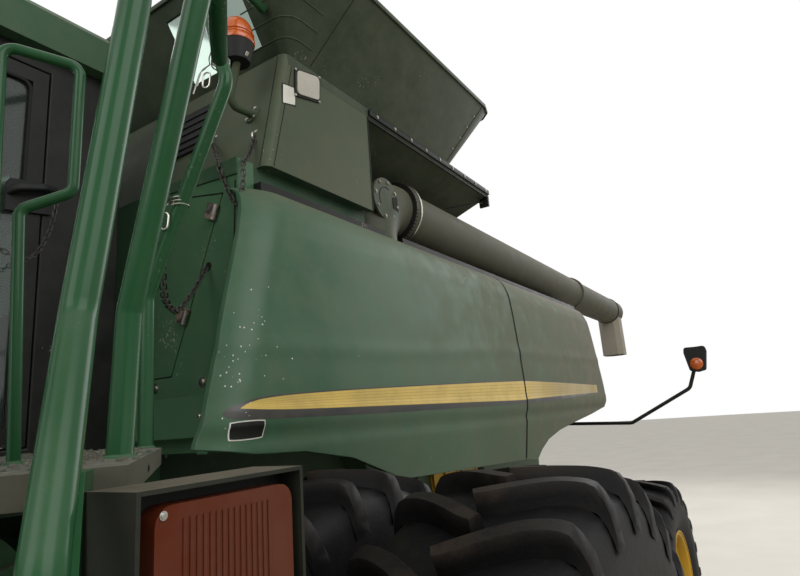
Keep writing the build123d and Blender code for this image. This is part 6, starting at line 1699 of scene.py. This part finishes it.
@dataclass
class Platform:
    """Deck with its grit, pale edge and end plate, the rails, the marker guard and the amber lamps."""

    top: float = 2083.0
    foot: float = 380.0
    hinge: tuple = ((1180.0, 2340.0), (1678.0, 1971.0))  # x, y of the ladder's top edge
    lamp: float = 1137.0
    beacon: tuple = (160.0, 1400.0)
    posts: tuple = (((1040, 2095), 21), ((680, 1625), 19), ((1100, 1880), 11), ((1150, 1900), 11))  # x, y, radius

    def paint(self, at: np.ndarray, normals: np.ndarray) -> np.ndarray:
        """Finish numbers: 0 subframe, 1 deck top, 2 rails, 3 guards, 4 deck edge."""
        x, y, z = at.T
        rail = (z > 2086) & (y > 600)
        guard = (np.abs(y) > 2370) & (z < 2070) & (np.abs(x - self.lamp) < 125)
        deck = (z > 2080) & (normals[:, 2] > 0.9) & (y > 880) & ~rail
        edge = (z > 2040) & (z < 2084) & (np.abs(normals[:, 2]) < 0.2) & (y > 880)
        return np.select([guard, rail, deck, edge], [3, 2, 1, 4], 0)

    def build(self) -> None:
        """Dress the platform, ladder and lamps, and add their small parts."""
        softened(
            "platform", [CHASSIS_GREEN, DECK_PLATE, RAIL_GREEN, GUARD_PAINT, WORN_PLATE], self.paint, bevel=1.5,
            sharp=38,
        )
        softened(
            "ladder", [RAIL_GREEN, DECK_PLATE], lambda at, n: ((n[:, 2] > 0.9) & (at[:, 2] < 1900)).astype(int),
            bevel=1.5, sharp=38,
        )
        self.deck()
        self.lens()
        self.steps()

    def deck(self) -> None:
        """Crumbs of soil on the deck, the end plate's screws and the weld rings at the rails' feet."""
        shape = Shape()
        draw = np.random.default_rng(3)
        spots = draw.uniform((620, 930, self.top + 0.2), (1700, 2250, self.top + 0.6), (900, 3))
        x, y, _ = spots.T
        inside = (y < 1690 + (x - 680) * 1.28) & (y < 2300 - np.clip(x - 1180, 0, None) * 0.75)
        inside &= (x > 690) | (y < 1500)
        crumb = Shape().lathe(
            np.array([(0, -0.001), (1, -0.001), (0.8, 0.5), (0, 0.7)]) * 0.006, (0, 0, 0), UP, 5, ring=False
        )
        shape.scatter(crumb, row(spots[inside]), draw.normal(size=(inside.sum(), 3)) * (1, 1, 0.01), UP)
        bolts(shape, [(690, 1722, 2060), (968, 2064, 2060)], (-0.79, 0.61, 0), 4, 3, 1, 16)
        for (x, y), radius in self.posts:
            weld = ((radius - 1, 0), (radius + 6, 0), (radius + 4, 3), (radius, 6), (radius - 1, 6))
            shape.turned(weld, (x, y, self.top), UP, 28, 2)
        piece("deck_trim", shape, [DECK_PLATE, SEAL, RAIL_GREEN], "platform")

    def lens(self) -> None:
        """Marker lenses that fill their guards, ribbed and screwed, and the beacon's dome on its skirt."""
        shape = Shape()
        for _, s in SIDES:
            back = rounded(0.218, 0.159, 0.006)
            shape.prism(back, row((self.lamp, s * 2386, 1976.5)), AHEAD, UP, -s * 0.05)
            face = rounded(0.192, 0.142, 0.020)
            shape.prism(face, row((1134, s * 2430, 1974)), AHEAD, UP, -s * 0.036, 1)
            for x in np.linspace(1078, 1196, 15):
                strip(shape, [(x, s * 2466.5, 1918), (x, s * 2466.5, 2030)], 4, 3, (0, s, 0), 1)
            bolts(shape, [(1221, s * 2466, 2036), (1048, s * 2466, 1913)], (0, s, 0), 3.2, 3, 3, 12)
        turn = np.linspace(0, np.pi / 2, 9)
        crown = np.stack([66 * np.cos(turn), 3688 + 78 * np.sin(turn)], axis=1)
        profile = np.concatenate([[(0, 3640), (71, 3640), (73, 3646), (73, 3658), (69, 3664)], crown[:-1], [(0, 3766)]])
        shape.turned(profile, (*self.beacon, 0), UP, 40, 2, ring=False)
        for z in (3668, 3680):
            shape.turned(((64, z), (70.5, z), (70.5, z + 5), (64, z + 5)), (*self.beacon, 0), UP, 40, 2)
        wing = [(160, 1430, 3565), (160, 1452, 3572), (160, 1464, 3584)]
        shape.sweep(row(bent(wing, 8)), rounded(0.014, 0.006, 0.002, 3), 3)
        piece("amber_glasses", shape, [BLACK, AMBER, AMBER_DOME, ZINC], "amber_lamps", ["amber_lamps"], bevel=1.5)

    def steps(self) -> None:
        """Raised grips on the ladder's treads: four strips across each of the five."""
        shape = Shape()
        one, other = np.array(self.hinge)
        edge, fall = unit(other - one), self.top - self.foot
        out = np.array([-edge[1], edge[0]])
        for drop in np.arange(1, 6) * fall / 5.3:
            for off in (-45, -15, 15, 45):
                mid = (one + other) / 2 + out * (43 + 185 / fall * drop + off)
                ends = [(*(mid + edge * t), self.top - drop + 16) for t in (-225, 225)]
                strip(shape, ends, 8, 6, UP)
        piece("tread_grips", shape, [STEEL], "ladder")


@dataclass
class Rear:
    """Warning lamps, engine hood, cooling screen, exhaust, straw hood and tail lamps."""

    arm_x: float = -4200.0
    housing: tuple = (  # y, z about its middle
        (0, 105), (84, 108), (92, 60), (64, -105), (0, -118), (-64, -105), (-92, 60), (-84, 108), (0, 105)
    )
    pipe: tuple = (-2420.0, -300.0)
    wheel: tuple = (-2950.0, -1316.0, 3215.0)

    def build(self) -> None:
        """Dress the rear end and add what is fixed to it."""
        softened("engine_hood", [GREEN, MOULDED, RUSTED], self.hood, bevel=5.0)
        softened("cooling_screen", [BLACK, SCREEN], lambda at, n: (n[:, 1] < -0.9).astype(int), bevel=4.0)
        softened("straw_hood", [GREEN], bevel=4.0)
        self.arms()
        self.screen()
        self.trim()

    def arms(self) -> None:
        """Bent arms with tapered lamp housings, a round amber lens low on both faces, and the tail lamps."""
        shape = Shape()
        for _, s in SIDES:
            arm = [(self.arm_x, s * y, z) for y, z in ((756, 1940), (1806, 1897), (2345, 2173), (2425, 2380))]
            shape.tube(row(bent(arm, 70)), 0.016, 16)
            foot = rounded(0.12, 0.12, 0.012)
            shape.prism(foot, row((self.arm_x, s * 750, 1940)), AHEAD, UP, -s * 0.014)
            spots = [(self.arm_x + a, s * 764, 1940 + b) for a in (-42, 42) for b in (-42, 42)]
            bolts(shape, spots, (0, s, 0), 7, 6, 3)
            outline = bent(self.housing, 26)[:-1] / 1000
            shape.prism(outline, row((self.arm_x - 36, s * 2438, 2425)), LEFT, UP, 0.072, 1)
            lens = ((0, 0), (50, 0), (54, 4), (52, 12), (40, 20), (0, 24))
            for sign in (-1, 1):
                seat = (self.arm_x + sign * 35, s * 2438, 2380)
                shape.turned([(a, sign * b) for a, b in lens], seat, AHEAD, 28, 2, ring=False)
            lens = rounded(0.14, 0.10, 0.02)
            for z, mark in ((2180, 4), (2060, 2)):
                shape.prism(lens, row((-4492, s * 560, z)), LEFT, (0.19, 0, 0.98), -0.03, mark)
        finishes = [BLACK, MOULDED, AMBER_DOME, ZINC, RED_LENS]
        piece("warning_lamps", shape, finishes, "warning_arms", ["warning_arms"], bevel=1.5)

    def hood(self, at: np.ndarray, normals: np.ndarray) -> np.ndarray:
        """Finish numbers: 0 sheet, 1 louvres, 2 exhaust."""
        x, y, z = at.T
        pipe = (z > 3482) & (np.abs(x - self.pipe[0]) < 115) & (np.abs(y - self.pipe[1]) < 115)
        slat = (y > 1000.5) | (x < -3650.5)
        return np.select([pipe, slat], [2, 1], 0)

    def screen(self) -> None:
        """Rim ring, spokes and hub bolts of the rotary screen."""
        shape = Shape()
        centre = np.array(self.wheel)
        shape.turned(((296, 0), (322, 0), (322, -14), (296, -10)), centre, LEFT, 64)
        for a in np.arange(8) * np.pi / 4:
            arm = np.array([math.cos(a), 0, math.sin(a)])
            strip(shape, [centre + arm * 50, centre + arm * 300], 16, 8, (0, -1, 0))
        bolts(shape, [centre + (a, -34.5, b) for a, b in ring_of(6, 40)], (0, -1, 0), 6, 5, 1)
        piece("screen_spokes", shape, [BLACK, ZINC], "cooling_screen")

    def trim(self) -> None:
        """Seams, bolts, handles and latches of the straw hood and engine hood, and the exhaust's rain cap."""
        shape = Shape()
        for _, s in SIDES:
            strip(shape, [(-3120, s * 761, 1360), (-3120, s * 761, 2800)], 4, 2, (0, s, 0))
            strip(shape, [(-3160, s * 761, 1760), (-4480, s * 761, 1760)], 4, 2, (0, s, 0))
            bolts(shape, [(x, s * 760.5, 1420) for x in np.linspace(-3200, -4350, 6)], (0, s, 0), 8, 5, 1)
            handle = [(-4100, s * 765, 2050), (-4100, s * 800, 2050), (-4100, s * 800, 2210), (-4100, s * 765, 2210)]
            shape.tube(row(bent(handle, 18)), 0.008, 10, 2)
        strip(shape, [(-2320, 1001, 2960), (-2320, 1001, 3280)], 5, 3, LEFT)
        for x in (-2500, -3300):
            shape.block((x - 25, 1000, 2880), (x + 25, 1012, 2915), 2)
        shape.turned(((0, 0), (74, 0), (74, 4), (0, 4)), (*self.pipe, 3902), (0.35, 0, 1), 32, 3, ring=False)
        piece("hood_trim", shape, [SEAL, ZINC, BLACK, RUSTED], "engine_hood")


@dataclass
class Cab:
    """Operator's cab: seals, door handle, wiper, padded seat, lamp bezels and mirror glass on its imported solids."""

    padding: tuple = (  # name, middle, size, lean
        ("seat_cushion", (960, 0, 2565), (470, 480, 105), 0.0),
        ("seat_back", (742, 0, 2870), (95, 440, 500), 0.12),
        ("head_rest", (700, 0, 3185), (80, 260, 110), 0.12),
    )

    def build(self) -> None:
        """Dress the cab and make its inside."""
        softened(
            "cab_shell", [BLACK, GREEN], lambda at, n: ((at[:, 2] < 2080) & (at[:, 0] > 1500)).astype(int), bevel=6.0
        )
        softened("cab_roof", [GREEN, BLACK], lambda at, n: (np.abs(at[:, 1]) > 945).astype(int), bevel=5.0, sharp=32)
        softened("cab_door", [BLACK, ZINC], lambda at, n: (at[:, 1] > 893).astype(int), bevel=5.0)
        softened("cab_interior", [GREY_MOULDED, MOULDED], lambda at, n: (at[:, 0] > 1350).astype(int), bevel=10.0)
        self.door()
        self.seat()
        self.roof()

    def door(self) -> None:
        """Seals round the panes, the door's pull with its key cylinder, and the wiper."""
        shape = Shape()
        loop = [(684, 2163), (684, 3427), (1436, 3427), (1436, 2163), (684, 2163)]
        strip(shape, [(x, 879, z) for x, z in loop], 14, 10, LEFT, 0, 40)
        outline = np.array([(0, 0), (150, 18), (158, 34), (158, 118), (146, 134), (8, 118), (0, 104)]) / 1000
        shape.prism(outline, row((745, 885, 2905)), (-1, 0, 0), UP, 0.012, 1)
        lever = [(735, 893, 2975), (720, 925, 2985), (640, 928, 3005), (590, 905, 3015)]
        shape.sweep(row(bent(lever, 30)), rounded(0.026, 0.03, 0.009), 1)
        key = ((0, 0), (13, 0), (13, 16), (10, 19), (0, 19))
        shape.turned(key, (578, 897, 3000), LEFT, 24, 2, ring=False)
        piece("door_trim", shape, [SEAL, MOULDED, CHROME], "cab_door")
        glass = Shape()
        pane = ((1575, 2266), (1575, 3484), (1834, 3484), (1834, 2266), (1575, 2266))
        for _, s in SIDES:
            strip(glass, [(x, s * 872, z) for x, z in pane], 12, 8, (0, s, 0), 0, 40)
        wiper = [(1978, 0, 2240), (1990, 60, 2400), (1975, 250, 2900)]
        glass.tube(row(bent(wiper, 60)), 0.009, 10)
        strip(glass, [(1977, 120, 2520), (1957, 330, 3160)], 14, 12, AHEAD)
        piece("glass_trim", glass, [SEAL], "cab_shell")

    def seat(self) -> None:
        """Crowned cushion, back and head rest in woven cloth with piped seams, on the seat's base."""
        for name, at, size, lean in self.padding:
            thin = int(np.argmin(size))
            wide = [k for k in range(3) if k != thin]
            u, v = np.meshgrid(np.linspace(-1, 1, 33), np.linspace(-1, 1, 33), indexing="ij")
            crown = (1 - np.abs(u) ** 3.2) * (1 - np.abs(v) ** 3.2)
            quilt = 1 - 0.10 * np.exp(-(((np.abs(v) - 0.55) / 0.045) ** 2)) - 0.06 * np.exp(-((u / 0.05) ** 2))
            half = 0.5 * size[thin] * (0.42 + 0.58 * np.clip(crown, 0, 1) ** 0.45 * quilt)
            points = np.zeros((2, 33, 33, 3))
            points[..., wide[0]] = 0.5 * size[wide[0]] * np.sign(u) * np.abs(u) ** 0.92
            points[..., wide[1]] = 0.5 * size[wide[1]] * np.sign(v) * np.abs(v) ** 0.92
            points[0, ..., thin], points[1, ..., thin] = half, -half
            points[..., 0] -= lean * points[..., 2]
            face, back = row(points + at)
            made = piece(name, Shape().slab(face, back - face), [SEAT_CLOTH], "cab_interior", sharp=60)

    def roof(self) -> None:
        """Bezels of the roof lamps, and the mirrors' glass with the bar below it."""
        shape = Shape()
        for y in ROOF_LAMPS:
            loop = [(2187, y + a, 3515 + b) for a, b in ((-56, -39), (56, -39), (56, 39), (-56, 39), (-56, -39))]
            strip(shape, loop, 8, 8, AHEAD, 0, 10)
        for _, s in SIDES:
            grid = rounded(0.22, 0.40, 0.03)
            shape.prism(grid, row((1999.4, s * 1500, 3110)), LEFT, UP, -0.003, 1)
            shape.block((1994, s * 1375, 3050), (2000, s * 1625, 3056))
        piece("roof_trim", shape, [MOULDED, CHROME], "cab_roof")


@dataclass
class Feeder:
    """Feeder house: stiffening ribs, bolted seams, a bolted side cover and the mouth's bolts."""

    slope: float = math.radians(21)
    pivot: tuple = (800.0, 1560.0)
    side: float = 701.0
    cover: tuple = ((0, 0), (900, 0), (960, 60), (960, 180), (900, 240), (0, 240), (-60, 180), (-60, 60))

    def on_side(self, run: float, rise: float, side: float) -> tuple[float, float, float]:
        """Spot on the tunnel's side: run along its slope from the pivot, rise off its axis."""
        (x, z), c, s = self.pivot, math.cos(self.slope), math.sin(self.slope)
        return (x + run * c + rise * s, side * self.side, z - run * s + rise * c)

    def build(self) -> None:
        """Dress the feeder house and its chain and add the trim."""
        softened("feeder_house", [GREEN, STEEL], self.paint, bevel=4.0)
        softened("feeder_chain", [STEEL], bevel=1.5)
        shape = Shape()
        for _, s in SIDES:
            for run in (420, 900, 1380, 1820):
                strip(shape, [self.on_side(run, -300, s), self.on_side(run, 300, s)], 34, 8, (0, s, 0))
            seam = [self.on_side(run, rise, s) for run in np.linspace(200, 2000, 10) for rise in (-295, 295)]
            bolts(shape, seam, (0, s, 0), 8, 6, 1)
            cover = np.array(self.cover) / 1000
            c, n = math.cos(self.slope), math.sin(self.slope)
            shape.prism(cover, row(self.on_side(620, -120, s)), (c, 0, -n), (n, 0, c), -0.03 * s)
            corners = [self.on_side(620 + run, rise, s * 1.046) for run in (40, 860) for rise in (-80, 80)]
            bolts(shape, corners, (0, s, 0), 7, 5, 1)
        bolts(shape, [(2951, y, z) for y in (-730, 730) for z in np.linspace(420, 1150, 6)], AHEAD, 10, 8, 1)
        piece("feeder_trim", shape, [GREEN, ZINC], "feeder_house")

    def paint(self, at: np.ndarray, normals: np.ndarray) -> np.ndarray:
        """Finish numbers: 0 enamel, 1 floor and mouth scoured bare by crop."""
        x, y, z = at.T
        axis = self.pivot[1] - (x - self.pivot[0]) * math.tan(self.slope)
        inside = (np.abs(y) < 682) & (np.abs(z - axis) < 322) & (x > 900)
        return (inside & (np.abs(normals[:, 1]) < 0.5)).astype(int)


@dataclass
class Chassis:
    """Running gear: axle bolts, hydraulic hoses and lines, and belt drives on both walls."""

    axle_z: float = 977.0
    wall: float = 701.0
    pulleys: tuple = (  # x, z and radius of the driving and the driven one
        ((-2500, 1640, 210), (-1900, 1480, 110)),
        ((-2900, 1700, 150), (-3050, 1460, 90)),
    )

    def build(self) -> None:
        """Dress the running gear and add its small parts."""
        for cad, finish, bevel in (("lift_barrels", BLACK, 1.5), ("lift_rods", CHROME, 0.5)):
            softened(cad, [finish], bevel=bevel)
        shape = Shape()
        for _, s in SIDES:
            bolts(shape, [(a, s * 1180.5, self.axle_z + b) for a, b in ring_of(12, 230)], (0, s, 0), 11, 9)
            bolts(shape, [(x, s * 300.5, z) for x in (-190, -60, 60, 190) for z in (760, 1080)], (0, s, 0), 11, 8)
            hose = [(240, s * 300, 1000), (330, s * 360, 1060), (420, s * 430, 980), (330, s * 395, 720)]
            shape.tube(row(bent(hose, 80)), 0.011, 12, 1)
            line = [(-200, s * 560, 1345), (-1200, s * 556, 1345), (-2400, s * 556, 1345), (-3200, s * 556, 1345)]
            shape.tube(row(line), 0.009, 10, 1)
        piece("axle_trim", shape, [ZINC, SEAL], "front_axle")
        self.drives()

    def drives(self) -> None:
        """Belt drives on the separator's walls: grooved pulleys, their hubs and the belts round them."""
        shape = Shape()
        for _, s in SIDES:
            for drive, driven in self.pulleys:
                (x0, z0, r0), (x1, z1, r1) = drive, driven
                for x, z, r in (drive, driven):
                    wall = (
                        (0, 2), (r, 2), (r, 12), (r - 14, 20), (r, 28), (r, 38), (r - 26, 38), (r - 30, 26),
                        (50, 26), (46, 44), (0, 44),
                    )
                    shape.turned([(a, s * b) for a, b in wall], (x, s * self.wall, z), LEFT, 48, ring=False)
                gap = np.array([x1 - x0, z1 - z0], float)
                reach = np.linalg.norm(gap)
                tilt = math.asin((r0 - r1) / reach)
                base = math.atan2(gap[1], gap[0])
                far = np.linspace(base - math.pi / 2 + tilt, base + math.pi / 2 - tilt, 16)
                near = np.linspace(base + math.pi / 2 - tilt, base + 3 * math.pi / 2 + tilt, 28)
                loop = [(x1 + (r1 - 4) * math.cos(a), s * (self.wall + 20), z1 + (r1 - 4) * math.sin(a)) for a in far]
                loop += [(x0 + (r0 - 4) * math.cos(a), s * (self.wall + 20), z0 + (r0 - 4) * math.sin(a)) for a in near]
                shape.sweep(row(loop), rounded(0.014, 0.012, 0.003, 3), 1, ring=True, up=LEFT)
        piece("side_drives", shape, [YELLOW, SEAL], "separator_body")


@dataclass
class Carried:
    """CAD nodes whose form is right, dressed in their finishes with softened edges."""

    plain: tuple = (  # node, finish, bevel
        ("main_frame", CHASSIS_GREEN, 4.0),
        ("front_axle", CHASSIS_GREEN, 5.0),
        ("rear_axle", CHASSIS_GREEN, 4.0),
        ("left_knuckle", CHASSIS_GREEN, 4.0),
        ("right_knuckle", CHASSIS_GREEN, 4.0),
        ("tie_rod", STEEL, 1.0),
        ("separator_body", GREEN, 4.0),
        ("cleaning_shoe", GREEN, 4.0),
        ("engine_deck", BLACK, 3.0),
        ("engine_block", CHASSIS_GREEN, 6.0),
        ("chopper_rotor", STEEL, 1.0),
        ("tailboard", BLACK, 1.5),
        ("cab_door_glass", GLASS, 0.0),
        ("fixed_glass", GLASS, 0.0),
    )

    def build(self) -> None:
        """Dress each node of the table."""
        for cad, finish, bevel in self.plain:
            softened(cad, [finish], bevel=bevel)


def main() -> None:
    """Build every sub-assembly in order."""
    logging.basicConfig(level=logging.INFO, format="%(message)s")
    for assembly in (
        Studio(), SideShields(), Wheels(), FrontWall(), Chains(), TankTrim(), Auger(),
        Platform(), Rear(), Cab(), Feeder(), Chassis(), Carried(),
    ):
        assembly.build()
        LOG.info("%s done", type(assembly).__name__)


if __name__ == "__main__":
    main()
